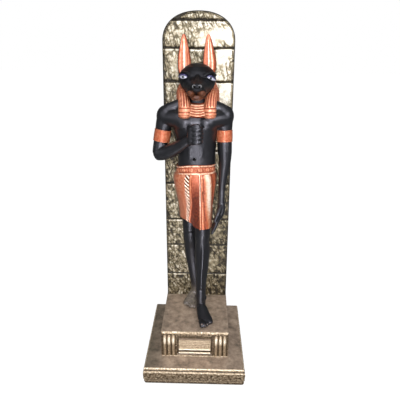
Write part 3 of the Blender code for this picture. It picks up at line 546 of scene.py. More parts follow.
ears = []
for side_name, (base_x, tip_x) in EAR_PLACES.items():

    def ear_place(u, v, proud, base_x=base_x, tip_x=tip_x):
        up, half = between(EAR_OUTLINE, v)
        turn = 2 * math.pi * u
        c, s = math.cos(turn), math.sin(turn)
        x = base_x + (tip_x - base_x) * max(0.0, (up - 440) / 38.5)
        front = 32 - 3 * (up - 420) / 58.5
        dish = 0.34 * abs(c) ** 3 - 0.14 + 0.13 * max(proud, 0.0)
        deep = dish if s >= 0 else 0.2 + 0.62 * s
        return at(x + half * c, front + half * deep, up)

    ends = [ear_place(0.25, v, 0) for v in (0.0, 1.0)]
    ears.append(wrap(f"ear_{side_name}", 112, 90, ear_place, partial(ear_shape, ribs=EAR_RIBS[side_name]), hubs=ends))

# %% [markdown]
# ## Headcloth, lappets and collar
#
# The striped headcloth frames the face and falls in two lappets on the chest, with a banded collar between
# them. Stripes are flutes that run down the cloth. The lappets' bands and the collar's bands run across.

# %% The headcloth behind the face
CLOTH_STATIONS = [(0, 12, 431, 8, 5), (0, 12.5, 428, 15, 9), (0, 13, 424, 20, 12), (0, 14, 417, 24.5, 15),
                  (0, 15.6, 410, 27.6, 18), (0, 17, 404, 30.6, 20), (0, 18, 398, 33.2, 22), (0, 19, 392, 34.2, 23),
                  (0, 19, 384, 34.8, 22.4), (0, 18.4, 375, 34.6, 20.6), (0, 17.6, 369, 33, 19), (0, 17, 365, 29, 16)]
STRIPES, STRIPE_PROUD = 52, 1.1


def cloth_shape(u, v):
    """Rounded flutes that run down the cloth."""
    crest = abs(math.sin(math.pi * STRIPES * (u + 0.012 * v))) ** 0.7
    return STRIPE_PROUD * crest, 0.02 + 0.68 * crest**3


def cloth_place(u, v, proud):
    x, front, up, wide, deep = between(CLOTH_STATIONS, v)
    cut = STRIPE_PROUD - proud
    return ring_point(x, front, up, wide - cut, deep - cut, 2 * math.pi * u)


headcloth = wrap("headcloth", 364, 60, cloth_place, cloth_shape, hubs=(at(0, 12, 431), at(0, 17, 365)))

# %% The two lappets: fluted above, and smooth barrels with a few fine bands below
LAPPET_STATIONS = [(24.2, 38, 399, 5, 6), (23.2, 42, 394, 7.6, 7.6), (21.6, 46.4, 388, 8.8, 8.2),
                   (20.4, 49.6, 382, 9.4, 8.3), (19.7, 51.6, 376, 9.8, 8.4), (19.6, 52.8, 369, 10, 8.5),
                   (19.6, 53.5, 363, 10, 8.3), (19.6, 53.6, 359.4, 9.3, 7.6), (19.6, 53.2, 357.2, 7, 5.6),
                   (19.6, 53, 356.2, 3, 2.4)]
LAPPET_FLUTES, FLUTE_PROUD = 14, 0.8
LAPPET_GROOVES = (0.5, 0.6, 0.7, 0.8)


def lappet_shape(u, v):
    """Flutes above, and fine grooves across the barrel."""
    flutes = FLUTE_PROUD * abs(math.sin(math.pi * LAPPET_FLUTES * (u + 0.1 * v))) ** 0.7
    barrel = 0.75 - sum(0.55 * math.exp(-(((v - groove) / 0.011) ** 2)) for groove in LAPPET_GROOVES)
    blend = smooth_step(0.44, 0.48, v)
    proud = flutes * (1 - blend) + barrel * blend
    return proud, 0.08 + 0.62 * (proud / FLUTE_PROUD) ** 1.5


lappets = []
for side in (-1, 1):

    def lappet_place(u, v, proud, side=side):
        x, front, up, wide, deep = between(LAPPET_STATIONS, v)
        cut = FLUTE_PROUD - proud
        return ring_point(side * x, front, up, wide - cut, deep - cut, 2 * math.pi * u * side, 2.3)

    ends = (at(side * 24.2, 38, 399), at(side * 19.6, 53, 356.1))
    lappets.append(wrap(f"lappet_{side}", 96, 150, lappet_place, lappet_shape, hubs=ends))

# %% The collar between them
COLLAR_BANDS, BAND_PROUD = 5, 1.3


def collar_shape(u, v):
    """Rounded bands across the collar."""
    crest = abs(math.sin(math.pi * COLLAR_BANDS * v)) ** 0.6
    return BAND_PROUD * crest, 0.1 + 0.68 * crest


def collar_place(u, v, proud):
    share = 2 * u - 1
    bow = 1 - share * share
    return at(13 * share, 47.4 + 11 * v + 1.5 * bow + proud, 379.6 - 18 * v - 1.6 * bow)


collar = wrap("collar", 60, 100, collar_place, collar_shape, wall=6)

# %% [markdown]
# ## Bands and belt
#
# The armbands are broad, slightly barrelled bands. The belt has a rim along each edge and a row of lens
# shapes and small loops between them, as carved leather might.

# %% Armbands


def armband_shape(u, v):
    """A thin rim at each end and a soft swell between."""
    rim = smooth_step(0.1, 0.04, v) + smooth_step(0.9, 0.96, v)
    proud = 0.5 * min(rim, 1.0) + 0.4 * math.sin(math.pi * v)
    return proud, 0.48 + 0.12 * proud


def armband(name, low, high, radius):
    """A wrap round the line from low to high."""
    low, high = Vector(low), Vector(high)
    run = (high - low).normalized()
    first = Vector((1, 0, 0)) - run.x * run
    first.normalize()
    second = run.cross(first)

    def place(u, v, proud):
        inset = 1.2 * (smooth_step(0.03, 0.0, v) + smooth_step(0.97, 1.0, v))
        turn = 2 * math.pi * u
        reach = radius + 0.5 + proud - inset
        return at(*(low + (high - low) * v + reach * (math.cos(turn) * first + math.sin(turn) * second)))

    return wrap(name, 96, 40, place, armband_shape, hubs=(at(*low), at(*high)))


armbands = [
    armband("armband_right", (-59.4, 30.8, 315.5), (-56, 29.4, 334.8), 12.9),
    armband("armband_left", (44.5, 31, 316.5), (44, 29.4, 335.4), 12.4),
]

# %% The belt
BELT_TOP, BELT_BOTTOM = 282.4, 266
BELT_MIDDLE = (-2.2, 29.5)
BELT_MOTIFS = 15


def belt_shape(u, v):
    """Two rims, and between them lenses with a loop beside each."""
    rims = smooth_step(0.0, 0.05, v) * smooth_step(0.2, 0.15, v)
    rims += smooth_step(0.76, 0.81, v) * smooth_step(1.0, 0.95, v)
    phase = (u * BELT_MOTIFS + 0.25 * v) % 1.0
    lens = ((phase - 0.36) / 0.3) ** 2 + ((v - 0.48) / 0.22) ** 2
    loop = ((phase - 0.84) / 0.13) ** 2 + ((v - 0.48) / 0.16) ** 2
    motif = smooth_step(1.0, 0.5, lens) - 0.8 * smooth_step(0.16, 0.05, abs(phase - 0.36 - 0.3 * (v - 0.48)) / 0.3)
    motif += smooth_step(1.0, 0.6, loop) - smooth_step(0.4, 0.2, loop)
    proud = rims + 0.7 * motif
    return 0.3 + proud, 0.36 + 0.46 * proud


def belt_place(u, v, proud):
    """The belt sags a little towards each hip, and more on the figure's right."""
    turn = 2 * math.pi * u
    side = math.cos(turn)
    sag = side * side * (2.5 - 1.5 * v if side > 0 else 7 - 2.6 * v)
    up = BELT_TOP + (BELT_BOTTOM - BELT_TOP) * v - sag
    return ring_point(*BELT_MIDDLE, up, 31.8 + proud, 27.4 + proud, turn, 2.15)


belt = wrap("belt", 440, 40, belt_place, belt_shape,
            hubs=(at(*BELT_MIDDLE, BELT_TOP - 4), at(*BELT_MIDDLE, BELT_BOTTOM - 3)))

# %% [markdown]
# ## The kilt
#
# The kilt is wrapped round the hips. On our left it carries a fan of fine curved folds that spring from an
# upright border; in the middle hangs a flat apron, and broad upright pleats follow on our right. The
# formula works out how far each fold stands proud at any turn and height.

# %% The kilt's measures, its swell over hips and thighs, and its hem
KILT_TOP, KILT_HEM, HEM_SLOPE, HEM_DROP = 270, 181, 1.5, 6
KILT_AXIS = (-2, 33)
BORDER_TURN, APRON_TURN, BORDER_VEER = -22, -12, 9
FAN_SPACING, FAN_CLIMB, FAN_SWEEP = 6.4, 9, 19
KILT_COLUMNS = ((0.0, -150), (0.13, -56), (0.62, -2), (0.86, 90), (1.0, 210))
# Each broad pleat on the right: where it starts and ends, how proud it is and how bright a painted highlight it
# carries.
PLEATS = ((12, 17, 1.9, 1.0), (17, 27, 1.0, 0.6), (27, 60, 1.9, 1.0), (60, 84, 1.6, 0.5), (84, 104, 1.6, 0.45),
          (104, 125, 1.6, 0.45))
# In plan, where the rear and the front thigh fill the kilt: middle and half sizes.
THIGHS = (((-13.4, 21.5), (15.6, 19)), ((9.6, 46.5), (15.4, 20.5)))


def reach_to_ellipse(turn, centre, halves):
    """How far a ray from the kilt's axis runs before it leaves an ellipse, in plan."""
    ox, oy = KILT_AXIS[0] - centre[0], KILT_AXIS[1] - centre[1]
    dx, dy = math.sin(turn), math.cos(turn)
    a = (dx / halves[0]) ** 2 + (dy / halves[1]) ** 2
    b = ox * dx / halves[0] ** 2 + oy * dy / halves[1] ** 2
    c = (ox / halves[0]) ** 2 + (oy / halves[1]) ** 2 - 1
    return (-b + math.sqrt(max(b * b - a * c, 0.0))) / a


@cache
def reach_to_thighs(degrees):
    """How far that ray runs before it leaves cloth stretched round both thighs."""
    reaches = []
    for i in range(-40, 41):
        nx, ny = math.sin(math.radians(degrees + 2 * i)), math.cos(math.radians(degrees + 2 * i))
        support = max(
            (x - KILT_AXIS[0]) * nx + (front - KILT_AXIS[1]) * ny + math.hypot(wide * nx, deep * ny)
            for (x, front), (wide, deep) in THIGHS
        )
        reaches.append(support / math.cos(math.radians(2 * i)))
    return min(reaches)


def hem_height(degrees):
    """The hem slopes down to the border and drops past it to the stepping leg."""
    slope = max(0.0, min(1.0, (degrees - 4 * BORDER_TURN) / (-3 * BORDER_TURN)))
    return KILT_HEM - HEM_SLOPE * slope - HEM_DROP * smooth_step(BORDER_TURN, 0, degrees)


def kilt_turn(u):
    """The turn of a column, in degrees: columns crowd where the folds are finest."""
    for (u0, low), (u1, high) in zip(KILT_COLUMNS, KILT_COLUMNS[1:]):
        if u <= u1 + 1e-9:
            return low + (high - low) * (u - u0) / (u1 - u0)
    return KILT_COLUMNS[-1][1]


def kilt_place(u, v, proud):
    degrees = kilt_turn(u)
    turn = math.radians(degrees)
    up = KILT_TOP + (hem_height(degrees) - KILT_TOP) * v
    fall = (KILT_TOP - up) / (KILT_TOP - KILT_HEM + HEM_SLOPE + HEM_DROP)
    swell = math.sin(math.pi * max(0.0, min(1.0, fall * 1.6))) * 2.8 - 2.8 * smooth_step(0.16, 0.0, fall)
    hips = reach_to_ellipse(turn, (-2.6 - 1.6 * smooth_step(0, 0.16, fall), 29.5), (35 + swell, 28.6 + 0.6 * swell))
    share = fall * fall * (3 - 2 * fall) * 0.35 + 0.65 * fall
    out = hips * (1 - share) + reach_to_thighs(degrees) * share + proud
    return at(KILT_AXIS[0] + out * math.sin(turn), KILT_AXIS[1] + out * math.cos(turn), up)


# %% The kilt's folds


def fan_fold(degrees, up, v):
    """Fine folds that spring from the border and climb away from it, steeper as they go: (height, tone). Their crests'
    tone is partly rubbed copper and partly painted highlight.
    """
    share = (BORDER_TURN - degrees) / (FAN_SWEEP + 5 * v)
    if share > 1:
        return 0.9, 0.58
    foot = up - FAN_CLIMB * (0.5 * share + 0.5 * share * share)
    crest = math.sin(math.pi * ((foot - KILT_HEM) / FAN_SPACING % 1.0)) ** 0.8
    fade = smooth_step(1.0, 0.7, share)
    return 0.9 + fade * (3 * crest - 2.2), 0.56 + fade * (1.15 * smooth_step(0.5, 0.95, crest) - 0.7)


def pleat_fold(degrees, v):
    """Broad rounded pleats with a sharp valley between each two, and finer ones behind: (height, tone). The tone
    carries a painted highlight that fades down the pleat.
    """
    for start, end, proud, bright in PLEATS:
        if start <= degrees < end:
            arch = math.sin(math.pi * (degrees - start) / (end - start)) ** 0.45
            slot = math.exp(-(((degrees - 23.5) / 1.2) ** 2)) * smooth_step(0.3, 0.34, v) * smooth_step(0.52, 0.48, v)
            # A painted highlight: it fades down the brightest pleats.
            fading = bright - 0.3 * max(bright - 0.6, 0.0) / 0.4 * smooth_step(0.45, 0.95, v)
            return 0.3 + proud * arch - 1.2 * slot, 0.1 + (fading - 0.1) * arch**1.5 - 0.7 * slot
    wave = abs(math.sin(math.radians(degrees - PLEATS[-1][1]) * 9))
    return 0.6 + 0.8 * wave, 0.15 + 0.4 * wave


def kilt_shape(u, v):
    """How proud the cloth stands, and its tone: rubbed copper, with painted highlight on the folds and pleats and
    painted shade on the apron.
    """
    plain = kilt_turn(u)
    degrees = plain + BORDER_VEER * smooth_step(0.6, 1.0, v) * smooth_step(8, -10, plain)
    up = KILT_TOP + (hem_height(plain) - KILT_TOP) * v
    if degrees < BORDER_TURN:
        height, tone = fan_fold(degrees, up, v)
    elif degrees < APRON_TURN:
        height = 1.9 * min(1.0, degrees - BORDER_TURN, APRON_TURN - degrees)
        tone = 0.3 + 0.3 * math.sin(math.pi * (degrees - BORDER_TURN) / (APRON_TURN - BORDER_TURN))
    elif degrees < PLEATS[0][0]:
        # The flat apron is painted dark, as painted shade, a little lighter near its top.
        height, tone = 0.0, 0.14 + 0.3 * smooth_step(0.5, 0.1, v)
    else:
        height, tone = pleat_fold(degrees, v)
    height *= 0.2 + 0.8 * smooth_step(0.04, 0.1, v)
    return height + 0.4 * smooth_step(0.965, 0.975, v) - 0.9 * smooth_step(0.985, 1.0, v), max(tone, 0.0)


kilt = wrap("kilt", 400, 170, kilt_place, kilt_shape,
            hubs=(at(*KILT_AXIS, KILT_TOP), at(*KILT_AXIS, KILT_HEM - 2)))

# %% [markdown]
# ## Stonework
#
# The slab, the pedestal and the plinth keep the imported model's outline exactly. The front of the slab and of the
# pedestal is one fine carved sheet each, drawn straight back to give the block its sides. The plinth is a wrap
# round its four sides. Every point keeps a tone for the gold: bright on crests, bare ground in cuts and joints.

# %% The slab's outline and its courses
slab_low, slab_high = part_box("slab")
SLAB_HALF, ARCH_RISE, ARCH_FULLNESS, SLAB_EDGE = 58.0, 45.0, 2.2, 3.0
COURSES = (0.096, 0.121, 0.102, 0.136, 0.115, 0.111, 0.113, 0.100, 0.080)
SLAB_TALL = (slab_high.z - slab_low.z) * 1000
SPRING = SLAB_TALL - ARCH_RISE
ARCH_SHARE = 0.12
joints = [sum(COURSES[:i + 1]) * SLAB_TALL for i in range(len(COURSES))]
upright_joint_x = -0.14 * 2 * SLAB_HALF


def slab_row(v):
    """The height of a row over the slab's foot and its half width, in millimetres."""
    if v <= 1 - ARCH_SHARE:
        return SPRING * v / (1 - ARCH_SHARE), SLAB_HALF
    turn = math.pi / 2 * (v - 1 + ARCH_SHARE) / ARCH_SHARE
    power = 2 / ARCH_FULLNESS
    return SPRING + ARCH_RISE * math.sin(turn) ** power, SLAB_HALF * max(math.cos(turn), 0.0) ** power


def rim_distance(x, tall):
    """How far inside the slab's outline a point lies, in millimetres."""
    if tall <= SPRING:
        return SLAB_HALF - abs(x)
    over = tall - SPRING
    reach = ((abs(x) / SLAB_HALF) ** ARCH_FULLNESS + (over / ARCH_RISE) ** ARCH_FULLNESS) ** (1 / ARCH_FULLNESS)
    return math.hypot(x, over) * (1 / max(reach, 1e-4) - 1)


def stone(x, tall, size, seed):
    """Smooth noise from -1 to 1 whose lumps are that many millimetres across."""
    return noise.noise(Vector((x / size, tall / size, seed)))


# %% How the stones are carved and painted: worn courses, worm-eaten faces, a chipped border, and painted light and shade


def joint_gap(x, tall):
    """How far over the nearest course joint a point is, in millimetres; a minus is under it."""
    wander = 0.9 * stone(x, tall, 16, 3.3)
    return min((tall + wander - joint for joint in joints), key=abs)


def stone_shape(u, v):
    """Height of the stone face and its tone: rubbed gilt, with painted light and shade laid into it."""
    tall, half = slab_row(v)
    x = (2 * u - 1) * half
    rim = rim_distance(x, tall)
    gap = joint_gap(x, tall)
    course = sum(tall > joint for joint in joints)
    paler = smooth_step(200, 400, tall)
    depth = math.exp(-((gap / (1.3 + 0.6 * paler)) ** 2))
    if course == len(joints) - 1:
        depth = max(depth, 0.25 * math.exp(-(((x - upright_joint_x) / 1.0) ** 2)))
    lip = math.exp(-(((gap + 3.0) / 1.1) ** 2))
    warp = 4.0 * stone(x, tall, 13, 7.1)
    calm = stone(x + 31 * course, tall, 30, 1.7) + 0.45 * smooth_step(380, 210, tall) - 0.004 * x + 0.1
    rough = smooth_step(-0.35, 0.3, calm)
    worm = abs(stone(1.3 * x + warp, 0.8 * tall - warp + x, 8.5, 11.0 + course)) / 0.1
    fine = abs(stone(x - warp, tall + 0.6 * warp, 5.4, 5.0 + course)) / 0.13
    cut = rough * min(1.0, math.exp(-worm * worm) + 0.6 * math.exp(-fine * fine))
    swell = stone(x, tall, 7.5, 2.2 + course)
    inside = smooth_step(0.6, 3.5, rim)
    line = math.exp(-(((rim - 3.4 - 0.8 * stone(x, tall, 9, 9.0)) / 0.8) ** 2))
    height = inside * (0.3 * swell - 1.0 * cut - 1.9 * depth + 0.35 * lip - 0.5 * line)
    # Painted light: the upper courses are painted paler, and paler towards the right, as the flash's glow; the lower
    # right is painted darker, as painted shade behind the hanging arm.
    tone = 0.58 + (0.12 + 0.0016 * x) * paler - 0.16 * (1 - paler) * smooth_step(-10, 50, x)
    tone += 0.36 * (1 - 0.5 * paler) * swell + 0.1 * stone(x, tall, 2.2, 4.4)
    # The lip under each joint is painted brighter: a painted highlight.
    tone += 0.35 * lip - 0.5 * cut - 0.75 * depth - (0.15 + 0.35 * paler) * line
    # The bevel round the border is painted darker: painted shade, deeper on the upper courses.
    tone -= (0.3 + 0.6 * paler) * smooth_step(2.4, 1.0, rim)
    return height, max(0.0, min(1.0, tone))


def slab_place(u, v, proud):
    tall, half = slab_row(v)
    x = (2 * u - 1) * half
    back = SLAB_EDGE * smooth_step(SLAB_EDGE, 0.0, rim_distance(x, tall)) ** 1.5
    return Vector((x / 1000, slab_front + (back - proud) / 1000, slab_low.z + tall / 1000))


slab = wrap("carved_slab", 120, 520, slab_place, stone_shape)

# %% Give a carved face its sides and its back
PLAIN_TONE = 0.4


def open_edge(face):
    """Opens a carved face in edit mode with its open edge selected."""
    open_all(face)
    bpy.ops.mesh.remove_doubles(threshold=1e-6)
    bpy.ops.mesh.select_all(action="DESELECT")
    bpy.ops.mesh.select_mode(type="EDGE")
    bpy.ops.mesh.select_non_manifold()


def draw_back(face, depth, steps, sharp):
    """Draws the open edge of a carved face straight back that far, closes it and paints it an even tone."""
    open_edge(face)
    for _ in range(steps):
        bpy.ops.mesh.extrude_region_move(TRANSFORM_OT_translate={"value": (0, depth / steps, 0)})
    bpy.ops.mesh.edge_face_add()
    bpy.ops.mesh.select_all(action="SELECT")
    close_outwards()
    tones = face.data.attributes["relief"].data
    back = max(corner.co.y for corner in face.data.vertices)
    for corner in face.data.vertices:
        if corner.co.y > back - 0.99 * depth:
            tones[corner.index].value = PLAIN_TONE
    return name_piece(face, face.name, sharp)


draw_back(slab, slab_high.y - slab_front - SLAB_EDGE / 1000, 5, 50)

# %% [markdown]
# ### The pedestal
#
# Its front has a worn, rolled top edge, three reeds at each end whose heads curve back, and a recess with a
# lined plaque over two bold ridges. The light from above catches every surface that leans back, and the paint
# adds painted highlights on the reeds' heads, the ridges and the top edge, with painted shade in the recess.

# %% The pedestal's carved front
pedestal_low, pedestal_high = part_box("pedestal")
BLOCK_HALF = (pedestal_high.x - pedestal_low.x) * 500
BLOCK_TALL = (pedestal_high.z - pedestal_low.z) * 1000
REED_PROUD, REED_WIDTH, REED_MIDDLE = 2.2, 7.5, 44.8
REED_BEND, REED_LEAN, REED_END = 31, 14, 44.5
RECESS_HALF, RECESS_LOW, RECESS_HIGH, RECESS_DEEP = 31, 2.6, 42.5, 5
PANEL_HALF, PANEL_HIGH, LINE_PITCH = 28, 34.4, 3.6
RIDGES = ((11.2, 15.6), (4.2, 8.0))
TOP_ROLL = 4.5


def roll(value, low, high):
    """A half-round moulding between two places: 1 at its crest."""
    share = (value - low) / (high - low)
    return math.sin(math.pi * share) ** 0.6 if 0 < share < 1 else 0.0


def pedestal_shape(x, z):
    """How proud the pedestal's front stands at x across and z up, in millimetres, and its tone, which carries painted
    shade and highlights.
    """
    grit = stone(x, z, 2.6, 1.1)
    away = abs(x)
    if away < RECESS_HALF and RECESS_LOW < z < RECESS_HIGH:
        # The recess is painted dark: painted shade under the top lip.
        height, tone = -RECESS_DEEP, 0.2 + 0.2 * grit
        if away < PANEL_HALF and z < PANEL_HIGH:
            line = roll(z % LINE_PITCH + 0.25 * math.sin(0.11 * x), 0, LINE_PITCH)
            ridge = max(roll(z, *span) for span in RIDGES)
            height = -2.6 + (0.5 * line if z > RIDGES[0][1] else 1.9 * ridge - 0.6)
            # The ridges' crests are painted pale and the lines between them dark, partly rubbed gilt and partly painted
            # highlight and shade.
            tone = 0.4 + 0.3 * line + 0.15 * grit if z > RIDGES[0][1] else 0.1 + 0.9 * ridge
        return height, tone
    centre = REED_MIDDLE + REED_WIDTH * max(-1, min(1, round((away - REED_MIDDLE) / REED_WIDTH)))
    across = max(0.0, 1 - ((away - centre) / (REED_WIDTH / 2)) ** 2) ** 0.5
    lean = max(0.0, min(1.0, (z - REED_BEND) / REED_LEAN))
    if across > 0 and RECESS_LOW < z < REED_END:
        fall = 5.5 * (1 - math.sqrt(1 - lean * lean))
        # The reeds' heads, where they lean back, are painted brighter: a painted highlight.
        head = roll(z, 26, 43)
        return 4.6 * across - 2.8 - fall, 0.08 + (0.42 + 0.5 * head) * across**1.4 + 0.12 * grit
    edge = smooth_step(TOP_ROLL, 0.5, BLOCK_TALL - z)
    foot = smooth_step(2.0, 0.8, z)
    # The rolled top edge is painted pale, partly rubbed gilt and partly painted highlight.
    tone = 0.3 + 0.35 * grit + 0.5 * edge * (0.8 + 0.9 * stone(x, z, 6, 8.8)) + 0.5 * foot
    return 0.5 * grit - 0.9 + 0.6 * foot, tone


def pedestal_place(u, v, proud):
    """The carved front, with its top edge rolled back and its corners eased."""
    x, z = (2 * u - 1) * BLOCK_HALF, v * BLOCK_TALL
    over = max(0.0, 1 - (BLOCK_TALL - z) / TOP_ROLL)
    side = max(0.0, 1 - (BLOCK_HALF - abs(x)) / 1.8)
    back = REED_PROUD + TOP_ROLL * (1 - math.sqrt(1 - min(over, 0.98) ** 2)) + 1.8 * side * side
    if over == 1.0 or side == 1.0 or v == 0.0:
        proud = min(proud, 0.0)
    return Vector((x / 1000, pedestal_low.y + (back - proud) / 1000, pedestal_low.z + z / 1000))


def block_shape(u, v):
    """The shape at a share of the pedestal's front."""
    height, tone = pedestal_shape((2 * u - 1) * BLOCK_HALF, v * BLOCK_TALL)
    return height, max(0.0, min(1.0, tone))


pedestal = wrap("worn_pedestal", 236, 104, pedestal_place, block_shape)
open_edge(pedestal)
flat = pedestal_low.y + 0.012
bpy.ops.mesh.extrude_region_move()
bpy.ops.transform.resize(value=(1, 0, 1), center_override=(0, flat, 0))
bpy.ops.object.mode_set(mode="OBJECT")
draw_back(pedestal, pedestal_high.y - flat, 1, 40)

# %% [markdown]
# ### The plinth
#
# One profile runs round four sides: two pale rolls with a dark groove between them, a broad band of chipped
# stone, and a low base moulding. The rolls' pale and the grooves' dark tones are partly rubbed gilt and partly
# painted highlight and shade. The top stays level and dusty.

# %% The plinth, wrapped round its four sides
plinth_low, plinth_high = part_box("plinth")
PLINTH_OUT, PLINTH_ROUND = 3.0, 720
# How far each line of the profile stands out, its height, its tone, partly painted highlight and shade, and how rough
# it is.
PROFILE = [(-10, 35, 0.5, 0), (-1.2, 35, 0.5, 0), (0.6, 34.1, 0.9, 0.5), (1.8, 32.6, 0.5, 0.5), (1.8, 31.2, 0.25, 0.2),
           (0.4, 29.6, 0.0, 0.1), (1.6, 28.4, 0.5, 0.4), (2.7, 27.0, 0.85, 0.5), (2.9, 25.4, 0.42, 0.8),
           (2.9, 19.0, 0.45, 1.0), (2.4, 13.4, 0.42, 1.0), (2.4, 12.2, 0.68, 0.6), (0.9, 10.6, 0.12, 0.2),
           (1.7, 8.8, 0.62, 0.5), (1.2, 6.0, 0.36, 0.8), (0.3, 2.6, 0.4, 0.6), (-2, 0, 0.1, 0)]
SIDES = ((-1, -1), (1, -1), (1, 1), (-1, 1), (-1, -1))
plinth_half = [(high - low) * 500 - PLINTH_OUT for low, high in zip(plinth_low.xy, plinth_high.xy)]
runs = [0.0]
for before, after in zip(PROFILE, PROFILE[1:]):
    runs.append(runs[-1] + math.dist(before[:2], after[:2]))


def plinth_row(v):
    """The profile at a share of its length: how far out, its height, its tone, its roughness."""
    run = v * runs[-1]
    i = max(k for k in range(len(runs) - 1) if runs[k] <= run + 1e-9)
    t = (run - runs[i]) / (runs[i + 1] - runs[i])
    return [a + (b - a) * t for a, b in zip(PROFILE[i], PROFILE[i + 1])]


def plinth_shape(u, v):
    """Chips and grit go in, never out."""
    _, z, tone, rough = plinth_row(v)
    around = u * PLINTH_ROUND
    chips = 0.5 + 0.9 * stone(around, z, 4.2, 3.0) + 0.4 * stone(around, z, 1.9, 6.0)
    grit = stone(around, z, 3.4, 9.0) + 0.6 * stone(around, z, 1.7, 2.0)
    return -0.7 * rough * chips, max(0.0, min(1.0, tone + (0.15 + 0.4 * rough) * grit))


def plinth_place(u, v, proud):
    out, z, _, _ = plinth_row(v)
    step = min(int(u * 4 + 1e-9), 3)
    t = u * 4 - step
    wide, deep = plinth_half[0] + out + min(proud, 0.0), plinth_half[1] + out + min(proud, 0.0)
    (x0, y0), (x1, y1) = SIDES[step], SIDES[step + 1]
    return Vector(((x0 + (x1 - x0) * t) * wide / 1000, (y0 + (y1 - y0) * t) * deep / 1000, z / 1000))


plinth = wrap("worn_plinth", 520, 66, plinth_place, plinth_shape, sharp=40,
              hubs=((0, 0, PROFILE[0][1] / 1000), (0, 0, 0)))

# %% [markdown]
# ## Paint
#
# A painted plaster surface is a thin film over a dead matt body. We write each colour as the hex value
# an eye would pick, turn it to linear once, and build each finish from few nodes.

# %% Colour and node helpers


def linear(hex_colour):
    """An sRGB hex colour as the linear values that a shader needs."""
    channels = [int(hex_colour[i:i + 2], 16) / 255 for i in (1, 3, 5)]
    return (*[c / 12.92 if c <= 0.04045 else ((c + 0.055) / 1.055) ** 2.4 for c in channels], 1.0)


def add(tree, kind, inputs=(), stops=(), **settings):
    """Adds one node: its settings, the stops of a ramp, and its inputs as constants or links."""
    node = tree.nodes.new(kind)
    for key, value in settings.items():
        setattr(node, key, value)
    for i, (position, colour) in enumerate(stops):
        elements = node.color_ramp.elements
        element = elements[i] if i < 2 else elements.new(position)
        element.position = position
        element.color = linear(colour)
    for key, value in dict(inputs).items():
        if isinstance(value, bpy.types.NodeSocket):
            tree.links.new(value, node.inputs[key])
        else:
            node.inputs[key].default_value = value
    return node


def new_paint(name, roughness, metallic=0.0, **sockets):
    """A material with constant values set on the Principled shader itself."""
    paint = bpy.data.materials.new(name)
    paint.use_nodes = True
    shader = paint.node_tree.nodes["Principled BSDF"]
    shader.inputs["Roughness"].default_value = roughness
    shader.inputs["Metallic"].default_value = metallic
    for key, value in sockets.items():
        shader.inputs[key.replace("_", " ")].default_value = value
    return paint, paint.node_tree, shader


def mottled_paint(name, mark, detail, stops, share, rise, **sockets):
    """A paint mottled by marks of that size; a share of them is added to the tone that the piece remembers."""
    paint, tree, shader = new_paint(name, **sockets)
    place = add(tree, "ShaderNodeTexCoord").outputs["Object"]
    marks = add(tree, "ShaderNodeTexNoise", {"Vector": place, "Scale": 1 / mark, "Detail": detail}).outputs["Fac"]
    bump = add(tree, "ShaderNodeBump", {"Height": marks, "Strength": rise, "Distance": 0.0006})
    tree.links.new(bump.outputs["Normal"], shader.inputs["Normal"])
    tone = marks
    if share:
        depth = add(tree, "ShaderNodeAttribute", attribute_name="relief").outputs["Fac"]
        worn = add(tree, "ShaderNodeMath", {0: marks, 1: share, 2: depth}, operation="MULTIPLY_ADD").outputs[0]
        tone = add(tree, "ShaderNodeMath", {0: worn, 1: share / 2}, operation="SUBTRACT").outputs[0]
    colour = add(tree, "ShaderNodeValToRGB", {"Fac": tone}, stops=stops).outputs["Color"]
    tree.links.new(colour, shader.inputs["Base Color"])
    return paint, tree, shader, place, marks, tone, colour


def mix(tree, share, first, second):
    """The colour that lies a share of the way from one to another."""
    return add(tree, "ShaderNodeMix", {"Factor": share, "A": first, "B": second}, data_type="RGBA").outputs["Result"]


def coat_with(paint, slot, *pieces):
    """Gives pieces a paint. The slot argument is not used."""
    for piece in pieces:
        piece.data.materials.clear()
        piece.data.materials.append(paint)


# %% [markdown]
# ### Black enamel
#
# The body is brushed with gloss black enamel: nearly smooth, with faint brush marks. The same paint carries
# the brown of the lips and a pale grey-brown painted light on the rear foot, each mixed in where the skin's points ask
# for it.

# %% Gloss black enamel
BRUSH_MARK = 0.004
BLACK_SLOT = "black_gloss_paint"
BLACK_TONES = [(0.35, "#070808"), (0.7, "#0f1112")]
black, tree, shader, _, marks, _, colour = mottled_paint("black_enamel", BRUSH_MARK, 4.0, BLACK_TONES, 0, 0.12,
                                                         roughness=0.4, Specular_IOR_Level=0.9)
shader.inputs["Specular Tint"].default_value = linear("#e6e4f4")
# Brown for the lips; pale grey-brown for the rear foot, a painted light.
for label, dark, light in (("brown", "#3a2013", "#6b3f28"), ("dust_and_painted_light", "#4a443c", "#7b7165")):
    share = add(tree, "ShaderNodeAttribute", attribute_name=label).outputs["Fac"]
    second = add(tree, "ShaderNodeValToRGB", {"Fac": marks}, stops=[(0.3, dark), (0.7, light)]).outputs["Color"]
    colour = mix(tree, share, colour, second)
tree.links.new(colour, shader.inputs["Base Color"])
coat_with(black, BLACK_SLOT, torso_skin, right_arm_skin, left_arm_skin, leg_skin, navel_lip)

# %% The face is duller: the same enamel, less polished
dull_black = black.copy()
dull_black.name = "dull_black_enamel"
shader = next(node for node in dull_black.node_tree.nodes if node.type == "BSDF_PRINCIPLED")
shader.inputs["Roughness"].default_value = 0.48
shader.inputs["Specular IOR Level"].default_value = 0.35
coat_with(dull_black, BLACK_SLOT, head_skin)

# %% [markdown]
# ### Copper paint
#
# Copper bronzing paint is fine metal flake in varnish. It was brushed over the black ground and wiped, so it
# is thin and dark in the valleys and full on the crests. The relief that each piece remembers drives that, and on
# the kilt it also carries painted highlight and shade.

# %% Copper bronzing paint
STREAK = 0.0035
